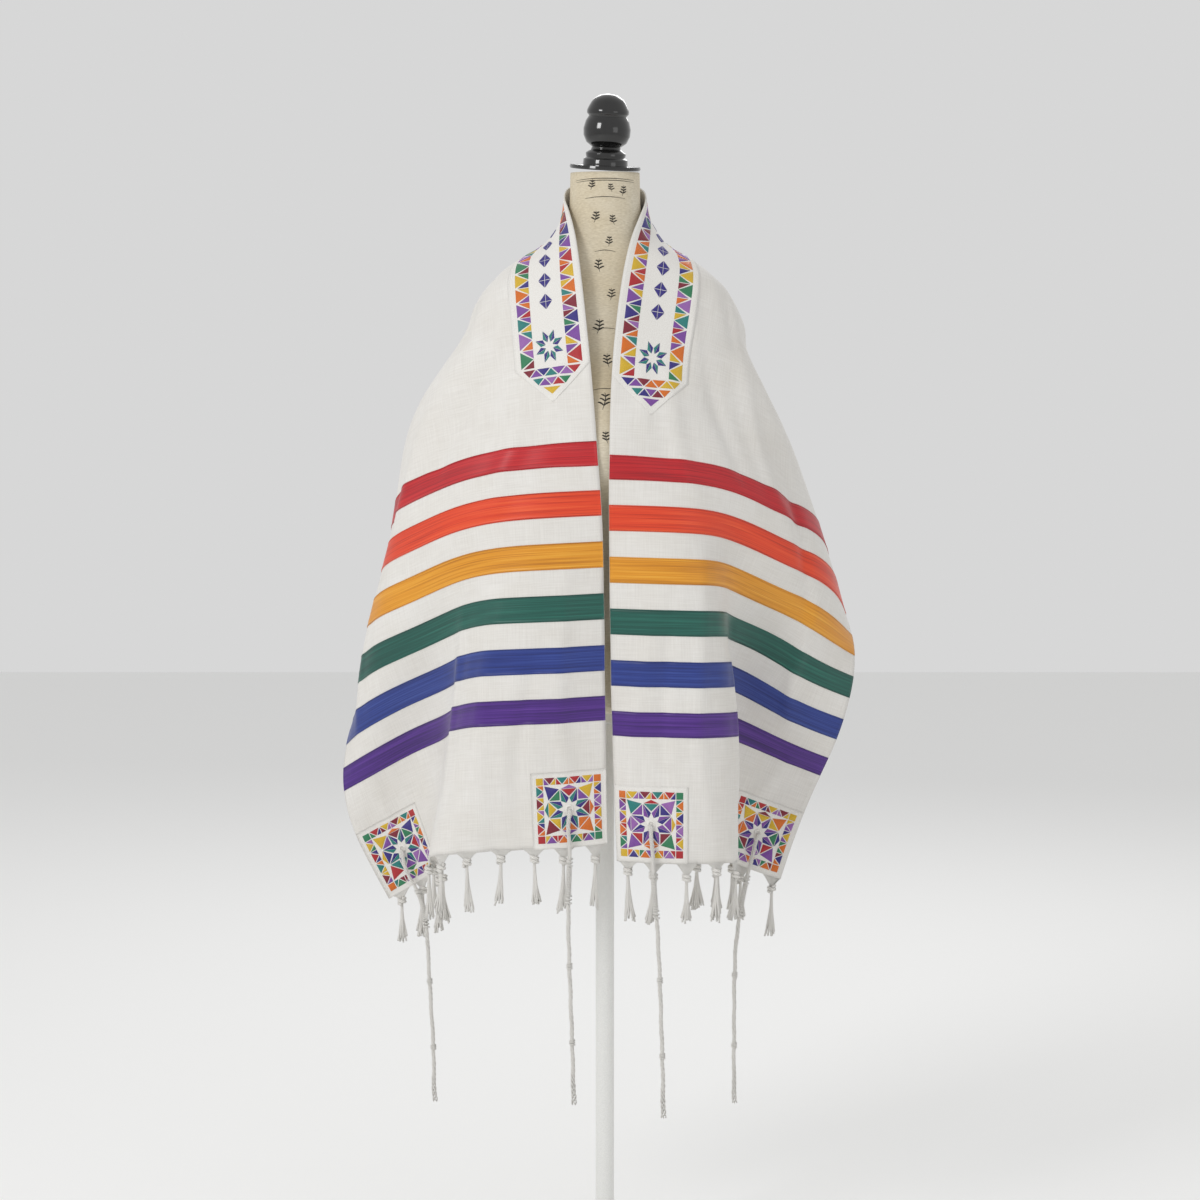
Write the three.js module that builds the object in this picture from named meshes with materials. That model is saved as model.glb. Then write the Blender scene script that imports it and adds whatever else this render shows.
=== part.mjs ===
// A striped prayer shawl (tallit) worn on a limbless dress form.
// Millimetres, +Z up, the front of the shawl faces -Y, the form stands on Z = 0.
//
// The shawl is one oblong of cloth. "run" is measured along it from the centre back,
// negative towards the wearer's right front and positive towards the left front.
// "across" is measured from the neck edge to the outer edge. The cloth is laid over the
// form folded on the diagonal, as it is put on, and settled by its own weight.
import * as THREE from "three";

// ---- driving dimensions ----
const HALF_LENGTH = 975;
const WIDTH = 500;
const RIBBON = 33.5;
const RIBBON_PITCH = 67;
const RIBBON_TO_HEM = 163;
const PATCH = 104;
const ATARA_TIP = 395;
const CLOTH_WALL = 1.6;
const TRIM_WALL = 1;
const GAP = 0.3;
const FRINGE_DROP = 72;
const FRINGE_WALL = 3;
const CORD_DIAMETER = 6;
const FORM_CLEARANCE = 7;

// Settling: steps, passes in each step, fall in one step and the share of speed kept.
const SETTLE = { steps: 420, passes: 8, fall: 0.25, keep: 0.97, fastest: 6, ease: 120 };
// How hard each kind of thread link holds its length: hop is how many threads it spans.
const LINKS = { thread: 1, bias: 0.35 };
const BENDS = [
  { hop: 2, hold: 0.16 },
  { hop: 4, hold: 0.03 },
];

const COLOURS = {
  cloth: 0xe6e3dd,
  thread: 0xf0eeea,
  embroidery: 0x6a3aa0,
  linen: 0xd9d0be,
  black: 0x101010,
  steel: 0xdcdcda,
};
const RIBBONS = [
  { name: "red", colour: 0xb8161f },
  { name: "orange", colour: 0xdb3f1a },
  { name: "gold", colour: 0xdd951f },
  { name: "green", colour: 0x17594d },
  { name: "blue", colour: 0x243784 },
  { name: "purple", colour: 0x47217a },
];

// Dress form: half width, half depth and centre of each ring.
const FORM = [
  { z: 795, a: 148, b: 110, y: 3 },
  { z: 840, a: 148, b: 112, y: 3 },
  { z: 900, a: 138, b: 108, y: 2 },
  { z: 975, a: 128, b: 104, y: 0 },
  { z: 1050, a: 146, b: 122, y: -10 },
  { z: 1120, a: 164, b: 136, y: -18 },
  { z: 1180, a: 172, b: 126, y: -14 },
  { z: 1235, a: 177, b: 108, y: -6 },
  { z: 1290, a: 177, b: 92, y: 0 },
  { z: 1330, a: 163, b: 78, y: 4 },
  { z: 1356, a: 142, b: 69, y: 7 },
  { z: 1377, a: 113, b: 62, y: 8 },
  { z: 1391, a: 86, b: 57, y: 8 },
  { z: 1404, a: 62, b: 53, y: 7 },
  { z: 1423, a: 51, b: 50, y: 6 },
  { z: 1452, a: 47.5, b: 47, y: 5 },
  { z: 1495, a: 46, b: 46, y: 5 },
];

// Neck edge of each front, from the side of the neck down to the hem.
const NECK_EDGE = [
  { run: 96, leftX: -53, leftZ: 1470, rightX: 50, rightZ: 1463, y: 8 },
  { run: 150, leftX: -38, leftZ: 1429, rightX: 30, rightZ: 1423, y: -46 },
  { run: 210, leftX: -31, leftZ: 1376, rightX: 18, rightZ: 1363, y: -84 },
  { run: 300, leftX: -21, leftZ: 1290, rightX: 9, rightZ: 1275, y: -118 },
  { run: 395, leftX: -13, leftZ: 1199, rightX: 5, rightZ: 1178, y: -142 },
  { run: 511, leftX: -3, leftZ: 1083, rightX: 4, rightZ: 1062, y: -152 },
  { run: 779, leftX: 0, leftZ: 812, rightX: 8, rightZ: 794, y: -150 },
  { run: 975, leftX: 2, leftZ: 621, rightX: 16, rightZ: 596, y: -148 },
];
const NAPE = { x: 0, y: 58, z: 1468 };

// Where the main folds of each front lie: the front panel's turning edge, the hidden
// valley behind it, and the outer flap out to the cloth's long edge.
const FOLDS = [
  { run: -300, across: 90, x: -100, y: -110, z: 1290 },
  { run: -300, across: 200, x: -215, y: -60, z: 1270 },
  { run: -300, across: 270, x: -245, y: 0, z: 1255 },
  { run: -444, across: 90, x: -95, y: -145, z: 1150 },
  { run: -444, across: 180, x: -185, y: -110, z: 1140 },
  { run: -444, across: 260, x: -245, y: -60, z: 1110 },
  { run: -444, across: 330, x: -285, y: 0, z: 1080 },
  { run: -511, across: 130, x: -130, y: -150, z: 1085 },
  { run: -511, across: 200, x: -190, y: -120, z: 1070 },
  { run: -511, across: 290, x: -250, y: -50, z: 1035 },
  { run: -511, across: 380, x: -300, y: 10, z: 1005 },
  { run: -578, across: 120, x: -115, y: -150, z: 1020 },
  { run: -578, across: 190, x: -185, y: -140, z: 1010 },
  { run: -578, across: 300, x: -270, y: -30, z: 950 },
  { run: -578, across: 410, x: -315, y: 10, z: 925 },
  { run: -645, across: 150, x: -145, y: -155, z: 955 },
  { run: -645, across: 195, x: -190, y: -145, z: 945 },
  { run: -645, across: 270, x: -230, y: -70, z: 900 },
  { run: -645, across: 440, x: -335, y: 15, z: 840 },
  { run: -712, across: 150, x: -140, y: -155, z: 885 },
  { run: -712, across: 195, x: -190, y: -150, z: 880 },
  { run: -712, across: 300, x: -260, y: -20, z: 815 },
  { run: -712, across: 465, x: -350, y: 20, z: 750 },
  { run: -779, across: 150, x: -140, y: -155, z: 820 },
  { run: -779, across: 195, x: -185, y: -150, z: 820 },
  { run: -779, across: 320, x: -245, y: -10, z: 765 },
  { run: -779, across: 390, x: -265, y: 10, z: 735 },
  { run: -779, across: 495, x: -365, y: 25, z: 675 },
  { run: -871, across: 195, x: -190, y: -150, z: 715 },
  { run: -871, across: 396, x: -270, y: 10, z: 645 },
  { run: -871, across: 500, x: -350, y: 25, z: 595 },
  { run: -975, across: 150, x: -135, y: -150, z: 610 },
  { run: -975, across: 203, x: -195, y: -150, z: 600 },
  { run: -975, across: 396, x: -215, y: 5, z: 570 },
  { run: -975, across: 500, x: -295, y: 25, z: 505 },
  { run: 300, across: 90, x: 85, y: -110, z: 1265 },
  { run: 300, across: 200, x: 185, y: -60, z: 1230 },
  { run: 444, across: 118, x: 120, y: -140, z: 1130 },
  { run: 444, across: 240, x: 205, y: -80, z: 1100 },
  { run: 444, across: 362, x: 285, y: 5, z: 1055 },
  { run: 511, across: 118, x: 125, y: -150, z: 1060 },
  { run: 511, across: 380, x: 310, y: 10, z: 970 },
  { run: 578, across: 115, x: 120, y: -150, z: 995 },
  { run: 578, across: 260, x: 220, y: -70, z: 960 },
  { run: 578, across: 430, x: 340, y: 10, z: 890 },
  { run: 645, across: 122, x: 130, y: -150, z: 930 },
  { run: 645, across: 420, x: 265, y: 0, z: 865 },
  { run: 645, across: 500, x: 350, y: 25, z: 825 },
  { run: 712, across: 126, x: 135, y: -150, z: 865 },
  { run: 712, across: 350, x: 190, y: -5, z: 835 },
  { run: 712, across: 500, x: 330, y: 30, z: 760 },
  { run: 779, across: 131, x: 135, y: -150, z: 795 },
  { run: 779, across: 326, x: 150, y: 5, z: 770 },
  { run: 779, across: 415, x: 230, y: 15, z: 745 },
  { run: 779, across: 500, x: 310, y: 30, z: 705 },
  { run: 871, across: 126, x: 135, y: -150, z: 700 },
  { run: 871, across: 398, x: 190, y: 20, z: 675 },
  { run: 871, across: 500, x: 280, y: 30, z: 635 },
  { run: 975, across: 120, x: 135, y: -150, z: 590 },
  { run: 975, across: 396, x: 150, y: 15, z: 590 },
  { run: 975, across: 500, x: 245, y: 30, z: 545 },
];
const PULL = { edge: 0.3, foldXZ: 0.12, foldY: 0.05, outline: 0.5 };

// How far out the worn shawl reaches on each side at each height.
const OUTLINE = [
  { z: 450, left: 255, right: 205 },
  { z: 510, left: 295, right: 228 },
  { z: 606, left: 351, right: 267 },
  { z: 679, left: 363, right: 296 },
  { z: 766, left: 348, right: 328 },
  { z: 833, left: 336, right: 345 },
  { z: 891, left: 325, right: 341 },
  { z: 978, left: 307, right: 308 },
  { z: 1060, left: 289, right: 286 },
  { z: 1167, left: 266, right: 245 },
  { z: 1315, left: 227, right: 189 },
  { z: 1343, left: 219, right: 185 },
  { z: 1372, left: 200, right: 153 },
  { z: 1394, left: 150, right: 123 },
  { z: 1402, left: 120, right: 85 },
  { z: 1424, left: 84, right: 62 },
  { z: 1461, left: 66, right: 60 },
];

// ---- the cloth's grid of threads ----
function spread(from, to, parts) {
  return Array.from({ length: parts }, (_, i) => from + ((to - from) * (i + 1)) / parts);
}

const ribbonTops = RIBBONS.map(
  (_, k) => HALF_LENGTH - RIBBON_TO_HEM - RIBBON - RIBBON_PITCH * (RIBBONS.length - 1 - k),
);
const lastRibbonEnd = HALF_LENGTH - RIBBON_TO_HEM;
const halfRuns = [
  0,
  ...spread(0, 96, 4),
  ...spread(96, 150, 2),
  ...spread(150, 300, 5),
  ...spread(300, ATARA_TIP - PATCH / 2, 2),
  ...spread(ATARA_TIP - PATCH / 2, ATARA_TIP, 2),
  (ATARA_TIP + ribbonTops[0]) / 2,
  ...ribbonTops.flatMap((top) => [top, top + RIBBON]),
  ...spread(lastRibbonEnd, HALF_LENGTH - PATCH, 2),
  ...spread(HALF_LENGTH - PATCH, HALF_LENGTH, 3),
];
const runs = [...halfRuns.slice(1).reverse().map((r) => -r), ...halfRuns];
const acrosses = [
  0,
  ...spread(0, PATCH, 4),
  ...spread(PATCH, WIDTH - PATCH, 13),
  ...spread(WIDTH - PATCH, WIDTH, 4),
];
const ROWS = runs.length;
const COLS = acrosses.length;
const at = (i, j) => i * COLS + j;
const nearest = (list, value) =>
  list.reduce((best, v, i) => (Math.abs(v - value) < Math.abs(list[best] - value) ? i : best), 0);

// Straight-line reading of a table with named columns.
function read(table, key, value, column) {
  let k = 0;
  while (k < table.length - 2 && value > table[k + 1][key]) k++;
  const low = table[k];
  const high = table[k + 1];
  const part = Math.min(1, Math.max(0, (value - low[key]) / (high[key] - low[key])));
  return low[column] + (high[column] - low[column]) * part;
}

// The cloth as it is put on: folded on the diagonal over each shoulder.
function putOn() {
  const turn = 70;
  const neckRun = 85;
  const quarter = (Math.PI * turn) / 2;
  const p = new Float64Array(ROWS * COLS * 3);
  runs.forEach((run, i) =>
    acrosses.forEach((across, j) => {
      const side = run < 0 ? -1 : 1;
      const off = (Math.abs(run) - across - neckRun) / Math.SQRT2;
      const along = (Math.abs(run) + across - neckRun) / Math.SQRT2;
      const round = Math.abs(off) < quarter;
      const down = round ? -turn * Math.cos(off / turn) : Math.abs(off) - quarter;
      const y = round ? -turn * Math.sin(off / turn) : -turn * Math.sign(off);
      const x = neckRun + (along - down - quarter) / Math.SQRT2;
      const z = NAPE.z - 3 - (along + down + quarter) / Math.SQRT2;
      p.set([side * x, y, z], at(i, j) * 3);
    }),
  );
  return p;
}

// Links between nodes that keep their distance: threads, the bias, and bending.
function makeLinks() {
  const links = [];
  const add = (i, j, k, l, hold) => {
    if (k >= ROWS || l >= COLS || l < 0) return;
    const rest = Math.hypot(runs[k] - runs[i], acrosses[l] - acrosses[j]);
    links.push([at(i, j) * 3, at(k, l) * 3, rest, hold]);
  };
  const rowsOf = (odd, hop) => runs.map((_, i) => i).filter((i) => Math.floor(i / hop) % 2 === odd);
  const colsOf = (odd, hop) => acrosses.map((_, j) => j).filter((j) => Math.floor(j / hop) % 2 === odd);
  for (const odd of [0, 1]) {
    for (const i of rowsOf(odd, 1)) acrosses.forEach((_, j) => add(i, j, i + 1, j, LINKS.thread));
    for (const j of colsOf(odd, 1)) runs.forEach((_, i) => add(i, j, i, j + 1, LINKS.thread));
  }
  for (const odd of [0, 1]) {
    for (const i of rowsOf(odd, 1)) acrosses.forEach((_, j) => add(i, j, i + 1, j + 1, LINKS.bias));
    for (const i of rowsOf(odd, 1)) acrosses.forEach((_, j) => add(i, j, i + 1, j - 1, LINKS.bias));
  }
  for (const odd of [0, 1])
    for (const { hop, hold } of BENDS) {
      for (const i of rowsOf(odd, hop)) acrosses.forEach((_, j) => add(i, j, i + hop, j, hold));
      for (const j of colsOf(odd, hop)) runs.forEach((_, i) => add(i, j, i, j + hop, hold));
    }
  return links;
}

// Nodes that are eased towards a known place, each with its own pull.
function makeGuides() {
  const guides = [];
  runs.forEach((run, i) => {
    const r = Math.abs(run);
    if (r < 90) return;
    const side = run < 0 ? "left" : "right";
    const place = [
      read(NECK_EDGE, "run", r, side + "X"),
      read(NECK_EDGE, "run", r, "y"),
      read(NECK_EDGE, "run", r, side + "Z"),
    ];
    guides.push([at(i, 0) * 3, place, [PULL.edge, PULL.edge, PULL.edge]]);
  });
  guides.push([at(nearest(runs, 0), 0) * 3, [NAPE.x, NAPE.y, NAPE.z], [PULL.edge, PULL.edge, PULL.edge]]);
  for (const f of FOLDS) {
    const node = at(nearest(runs, f.run), nearest(acrosses, f.across)) * 3;
    guides.push([node, [f.x, f.y, f.z], [PULL.foldXZ, PULL.foldY, PULL.foldXZ]]);
  }
  return guides;
}

// Moves a point that lies inside the form, grown by the clearance, out to its surface.
function pushOut(p, n) {
  const z = p[n + 2];
  if (z < FORM[0].z || z > NAPE.z + 32) return;
  const a = read(FORM, "z", z, "a") + FORM_CLEARANCE;
  const b = read(FORM, "z", z, "b") + FORM_CLEARANCE;
  const y = p[n + 1] - read(FORM, "z", z, "y");
  const x = p[n];
  const f = Math.hypot(x / a, y / b);
  if (f >= 1) return;
  const slope = (column) => (read(FORM, "z", z + 1, column) - read(FORM, "z", z - 1, column)) / 2;
  const g = Math.max(f, 1e-3);
  const gx = x / (a * a * g);
  const gy = y / (b * b * g);
  const gz =
    -((x * x * slope("a")) / a ** 3 + (y * y * slope("b")) / b ** 3) / g - (y * slope("y")) / (b * b * g);
  const gg = gx * gx + gy * gy + gz * gz;
  const k = Math.min((1 - f) / gg, 30 / Math.sqrt(gg));
  p[n] += k * gx;
  p[n + 1] += k * gy;
  p[n + 2] += k * gz;
}

function settle() {
  const p = putOn();
  const before = new Float64Array(p.length);
  const speed = new Float64Array(p.length);
  const links = makeLinks();
  const guides = makeGuides();
  for (let step = 0; step < SETTLE.steps; step++) {
    const eased = Math.min(1, step / SETTLE.ease);
    before.set(p);
    for (let n = 0; n < p.length; n += 3) {
      for (const k of [0, 1, 2]) speed[n + k] *= SETTLE.keep;
      speed[n + 2] -= SETTLE.fall;
      const size = Math.hypot(speed[n], speed[n + 1], speed[n + 2]);
      const cut = Math.min(size, SETTLE.fastest) / Math.max(size, 1e-9);
      for (const k of [0, 1, 2]) {
        speed[n + k] *= cut;
        p[n + k] += speed[n + k];
      }
    }
    for (let pass = 0; pass < SETTLE.passes; pass++) {
      for (const [m, n, rest, hold] of links) {
        const dx = p[n] - p[m];
        const dy = p[n + 1] - p[m + 1];
        const dz = p[n + 2] - p[m + 2];
        const c = hold * 0.5 * (1 - rest / Math.sqrt(dx * dx + dy * dy + dz * dz));
        p[m] += c * dx;
        p[m + 1] += c * dy;
        p[m + 2] += c * dz;
        p[n] -= c * dx;
        p[n + 1] -= c * dy;
        p[n + 2] -= c * dz;
      }
      for (const [n, place, pull] of guides)
        for (const k of [0, 1, 2]) p[n + k] += pull[k] * eased * (place[k] - p[n + k]);
      for (let n = 0; n < p.length; n += 3) {
        const reach = read(OUTLINE, "z", p[n + 2], p[n] < 0 ? "left" : "right");
        const over = Math.abs(p[n]) - reach;
        if (over > 0) p[n] -= Math.sign(p[n]) * over * PULL.outline;
        pushOut(p, n);
      }
    }
    for (let n = 0; n < p.length; n++) speed[n] = p[n] - before[n];
  }
  return smooth(smooth(smooth(smooth(p))));
}

// Eases each node towards the middle of its neighbours, along the cloth and then across it.
function smooth(p) {
  for (const along of [true, false]) {
    const old = p.slice();
    for (let i = 0; i < ROWS; i++)
      for (let j = 0; j < COLS; j++) {
        const edge = along ? i === 0 || i === ROWS - 1 : j === 0 || j === COLS - 1;
        if (edge) continue;
        const low = (along ? at(i - 1, j) : at(i, j - 1)) * 3;
        const high = (along ? at(i + 1, j) : at(i, j + 1)) * 3;
        for (const k of [0, 1, 2])
          p[at(i, j) * 3 + k] = 0.5 * old[at(i, j) * 3 + k] + 0.25 * (old[low + k] + old[high + k]);
      }
  }
  for (let n = 0; n < p.length; n += 3) pushOut(p, n);
  return p;
}

const cloth = settle();
const node = (i, j) => new THREE.Vector3().fromArray(cloth, at(i, j) * 3);

// Outward direction at each node, the mean of the faces round it.
const outward = (() => {
  const sum = Array.from({ length: ROWS * COLS }, () => new THREE.Vector3());
  for (let i = 0; i < ROWS - 1; i++)
    for (let j = 0; j < COLS - 1; j++) {
      const n = new THREE.Vector3()
        .subVectors(node(i + 1, j + 1), node(i, j))
        .cross(new THREE.Vector3().subVectors(node(i, j + 1), node(i + 1, j)));
      for (const k of [at(i, j), at(i + 1, j), at(i, j + 1), at(i + 1, j + 1)]) sum[k].add(n);
    }
  return sum.map((v) => v.normalize());
})();

// ---- walls made from the cloth's nodes ----
// A closed wall between two offsets from the cloth, over the triangles given as node triples.
function wall(triangles, from, to) {
  const used = [...new Set(triangles.flat())];
  const index = new Map(used.map((n, k) => [n, k]));
  const place = (n, offset) =>
    new THREE.Vector3().fromArray(cloth, n * 3).addScaledVector(outward[n], offset);
  const points = [...used.map((n) => place(n, to)), ...used.map((n) => place(n, from))];
  return closed(points, triangles.map((t) => t.map((n) => index.get(n))), used.length);
}

// Closes a sheet of triangles over its copy: the far layer's points follow the near layer's.
function closed(points, triangles, layer) {
  const faces = [];
  const edges = new Map();
  for (const [a, b, c] of triangles) {
    faces.push(a, b, c, a + layer, c + layer, b + layer);
    for (const [m, n] of [[a, b], [b, c], [c, a]]) {
      if (edges.has(n + "," + m)) edges.delete(n + "," + m);
      else edges.set(m + "," + n, [m, n]);
    }
  }
  for (const [m, n] of edges.values()) faces.push(m, m + layer, n, n, m + layer, n + layer);
  const geometry = new THREE.BufferGeometry().setFromPoints(points);
  geometry.setIndex(faces);
  geometry.computeVertexNormals();
  return geometry;
}

// A cell's two triangles. Beside the neck band's points the diagonal follows the point's slope.
function cell(i, j) {
  const [a, b, c, d] = [at(i, j), at(i + 1, j), at(i + 1, j + 1), at(i, j + 1)];
  const middle = (runs[i] + runs[i + 1]) / 2;
  const atPoint = Math.abs(middle) > ATARA_TIP - PATCH / 2 && Math.abs(middle) < ATARA_TIP;
  const nearHalf = acrosses[j] < PATCH / 2 - 1;
  if (atPoint && (middle > 0 ? nearHalf : !nearHalf && acrosses[j] < PATCH)) return [[a, b, c], [a, c, d]];
  return [[a, b, d], [d, b, c]];
}

// The two triangles of each grid cell between two runs and two distances across.
function cells(runFrom, runTo, acrossFrom, acrossTo) {
  const out = [];
  const [i0, i1] = [nearest(runs, runFrom), nearest(runs, runTo)];
  const [j0, j1] = [nearest(acrosses, acrossFrom), nearest(acrosses, acrossTo)];
  for (let i = i0; i < i1; i++)
    for (let j = j0; j < j1; j++)
      out.push(...cell(i, j));
  return out;
}

// Whether a triangle lies inside the neck band's outline, which ends in a point at each side.
function onBand(triangle) {
  const mean = (list) => triangle.reduce((sum, n) => sum + list(n), 0) / 3;
  const run = Math.abs(mean((n) => runs[Math.floor(n / COLS)]));
  const across = mean((n) => acrosses[n % COLS]);
  return Math.abs(across - PATCH / 2) < ATARA_TIP - run;
}

function material(colour, roughness, metalness = 0) {
  return new THREE.MeshStandardMaterial({ color: colour, roughness, metalness });
}

const object = new THREE.Group();
function add(name, geometry, finish) {
  const mesh = new THREE.Mesh(geometry, finish);
  mesh.name = name;
  object.add(mesh);
  return mesh;
}

const clothFinish = material(COLOURS.cloth, 0.85);
const half = CLOTH_WALL / 2;
const trimFrom = half + GAP;
const trimTo = trimFrom + TRIM_WALL;
const SIDES = [
  { name: "left", sign: -1 },
  { name: "right", sign: 1 },
];

add("shawl_cloth", wall(cells(-HALF_LENGTH, HALF_LENGTH, 0, WIDTH), -half, half), clothFinish);

// ---- neck band ----
const bandFaces = cells(-ATARA_TIP, ATARA_TIP, 0, PATCH).filter(onBand);
add("neck_band", wall(bandFaces, trimFrom, trimTo), material(COLOURS.thread, 0.8));

for (const { name: side, sign } of SIDES) {
  // ---- ribbons ----
  RIBBONS.forEach((ribbon, k) => {
    const [from, to] = [sign * ribbonTops[k], sign * (ribbonTops[k] + RIBBON)].sort((m, n) => m - n);
    const strip = cells(from, to, 0, WIDTH);
    add(`ribbon_${ribbon.name}_${side}`, wall(strip, trimFrom, trimTo), material(ribbon.colour, 0.4));
  });
  // ---- corner patches ----
  const [from, to] = [sign * (HALF_LENGTH - PATCH), sign * HALF_LENGTH].sort((m, n) => m - n);
  for (const [place, a, b] of [["inner", 0, PATCH], ["outer", WIDTH - PATCH, WIDTH]])
    add(`corner_patch_${side}_${place}`, wall(cells(from, to, a, b), trimFrom, trimTo),
      material(COLOURS.embroidery, 0.7));
}

// ---- fringe: the plain reach of the knotted tassels, hanging straight down from the hem ----
const TASSEL_LINE = 2.5;
for (const { name: side, sign } of SIDES) {
  const i = sign < 0 ? 0 : ROWS - 1;
  const layerPoints = (offset) =>
    [0, -FRINGE_DROP].flatMap((drop) =>
      acrosses.map((_, j) => {
        const n = outward[at(i, j)];
        const flat = new THREE.Vector3(n.x, n.y, 0).normalize();
        const down = node(i, j).sub(node(i - sign, j)).normalize();
        const top = node(i, j).addScaledVector(down, TASSEL_LINE).addScaledVector(flat, offset);
        return top.add(new THREE.Vector3(0, 0, drop));
      }),
    );
  const points = [...layerPoints(FRINGE_WALL / 2), ...layerPoints(-FRINGE_WALL / 2)];
  const faces = [];
  for (let j = 0; j < COLS - 1; j++)
    faces.push([j, j + COLS, j + 1], [j + 1, j + COLS, j + 1 + COLS]);
  const turned = sign > 0 ? faces : faces.map(([a, b, c]) => [a, c, b]);
  add(`fringe_${side}`, closed(points, turned, 2 * COLS), material(COLOURS.thread, 0.9));
}

// ---- dress form ----
const FORM_SIDES = 44;
function ring(z, a, b, y) {
  return Array.from({ length: FORM_SIDES }, (_, k) => {
    const angle = (2 * Math.PI * k) / FORM_SIDES;
    return new THREE.Vector3(a * Math.cos(angle), y + b * Math.sin(angle), z);
  });
}

// A solid through rings of points from the bottom up, closed by a fan at each end.
function loft(rings) {
  const count = rings[0].length;
  const points = rings.flat();
  const centre = (list) => list.reduce((sum, v) => sum.add(v), new THREE.Vector3()).divideScalar(count);
  points.push(centre(rings[0]), centre(rings[rings.length - 1]));
  const faces = [];
  for (let r = 0; r < rings.length - 1; r++)
    for (let k = 0; k < count; k++) {
      const [a, b] = [r * count + k, r * count + ((k + 1) % count)];
      faces.push(a, b, a + count, b, b + count, a + count);
    }
  const top = (rings.length - 1) * count;
  for (let k = 0; k < count; k++) {
    const next = (k + 1) % count;
    faces.push(next, k, points.length - 2, top + k, top + next, points.length - 1);
  }
  const geometry = new THREE.BufferGeometry().setFromPoints(points);
  geometry.setIndex(faces);
  geometry.computeVertexNormals();
  return geometry;
}
const bottom = FORM[0];
const formRings = [
  ring(bottom.z - 14, bottom.a - 40, bottom.b - 32, bottom.y),
  ring(bottom.z - 11, bottom.a - 16, bottom.b - 13, bottom.y),
  ...FORM.map(({ z, a, b, y }) => ring(z, a, b, y)),
];
add("dress_form", loft(formRings), material(COLOURS.linen, 0.9));

// ---- turned neck cap ----
const CAP = [
  { r: 46.5, z: 0 },
  { r: 47.5, z: 2 },
  { r: 46.5, z: 5 },
  { r: 30, z: 6 },
  { r: 29.5, z: 13 },
  { r: 26, z: 15 },
  { r: 27, z: 21 },
  { r: 20, z: 26 },
  { r: 19, z: 29 },
  { r: 27, z: 35 },
  { r: 31, z: 44 },
  { r: 31.5, z: 53 },
  { r: 29, z: 63 },
  { r: 25, z: 70 },
  { r: 28, z: 73 },
  { r: 28, z: 77 },
  { r: 26, z: 82 },
  { r: 21, z: 91 },
  { r: 12, z: 97 },
];
const CAP_LEAN = { right: 3, forward: 5 };
const capOutline = [
  new THREE.Vector2(0, 0),
  ...CAP.map(({ r, z }) => new THREE.Vector2(r, z)),
  new THREE.Vector2(0, 99),
];
const capShape = new THREE.LatheGeometry(capOutline, 40).rotateX(Math.PI / 2);
const neckTop = FORM[FORM.length - 1];
const cap = add("neck_cap", capShape, material(COLOURS.black, 0.15));
cap.position.set(0, neckTop.y, neckTop.z + 5);
cap.rotation.set(THREE.MathUtils.degToRad(CAP_LEAN.forward), THREE.MathUtils.degToRad(CAP_LEAN.right), 0);

// ---- stand ----
const POLE_RADIUS = 12.5;
const BASE = { radius: 170, rim: 6, top: 16, boss: 30, bossTop: 42 };
const steel = material(COLOURS.steel, 0.35, 0.2);
const poleTop = bottom.z - 14 - GAP;
const poleLength = poleTop - BASE.bossTop - GAP;
const pole = add("pole", new THREE.CylinderGeometry(POLE_RADIUS, POLE_RADIUS, poleLength, 32), steel);
pole.rotation.x = Math.PI / 2;
pole.position.set(0, 0, BASE.bossTop + GAP + poleLength / 2);
const baseOutline = [
  [0, 0],
  [BASE.radius - 2, 0],
  [BASE.radius, 2],
  [BASE.radius, BASE.rim],
  [BASE.radius - 6, BASE.rim + 3],
  [BASE.boss + 30, BASE.top],
  [BASE.boss, BASE.top + 4],
  [BASE.boss - 8, BASE.bossTop - 2],
  [BASE.boss - 10, BASE.bossTop],
  [0, BASE.bossTop],
].map(([r, z]) => new THREE.Vector2(r, z));
add("base", new THREE.LatheGeometry(baseOutline, 64).rotateX(Math.PI / 2), steel);

// ---- corner tassels: each hangs from the eyelet in the middle of its patch ----
// Each route starts at the eyelet, rides down over the patch and the fringe and hangs free.
const EYELET_RUN = HALF_LENGTH - PATCH / 2;
const CORD_STANDOFF = CORD_DIAMETER / 2 + trimTo + 1;
const CORD_ROUTES = [
  { name: "left_outer", sign: -1, across: WIDTH - PATCH / 2, hang: [[8, -6, 30], [26, -14, 62], [34, -17, 100],
    [37, -16, 150], [40, -15, 210], [43, -14, 270], [44, -14, 330], [45, -14, 345]] },
  { name: "left_inner", sign: -1, across: PATCH / 2, hang: [[-2, -2, 30], [0, -6, 55], [-1, -9, 80], [-2, -10, 130],
    [-1, -11, 190], [1, -11, 250], [3, -11, 310], [5, -11, 388]] },
  { name: "right_inner", sign: 1, across: PATCH / 2, hang: [[2, -2, 30], [3, -6, 55], [5, -9, 90], [9, -10, 140],
    [12, -11, 200], [14, -11, 260], [16, -11, 320], [17, -11, 385]] },
  { name: "right_outer", sign: 1, across: WIDTH - PATCH / 2, hang: [[-9, -14, 30], [-17, -24, 60], [-25, -26, 100],
    [-31, -25, 150], [-33, -24, 210], [-33, -23, 270], [-33, -23, 330], [-32, -23, 370]] },
];
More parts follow.
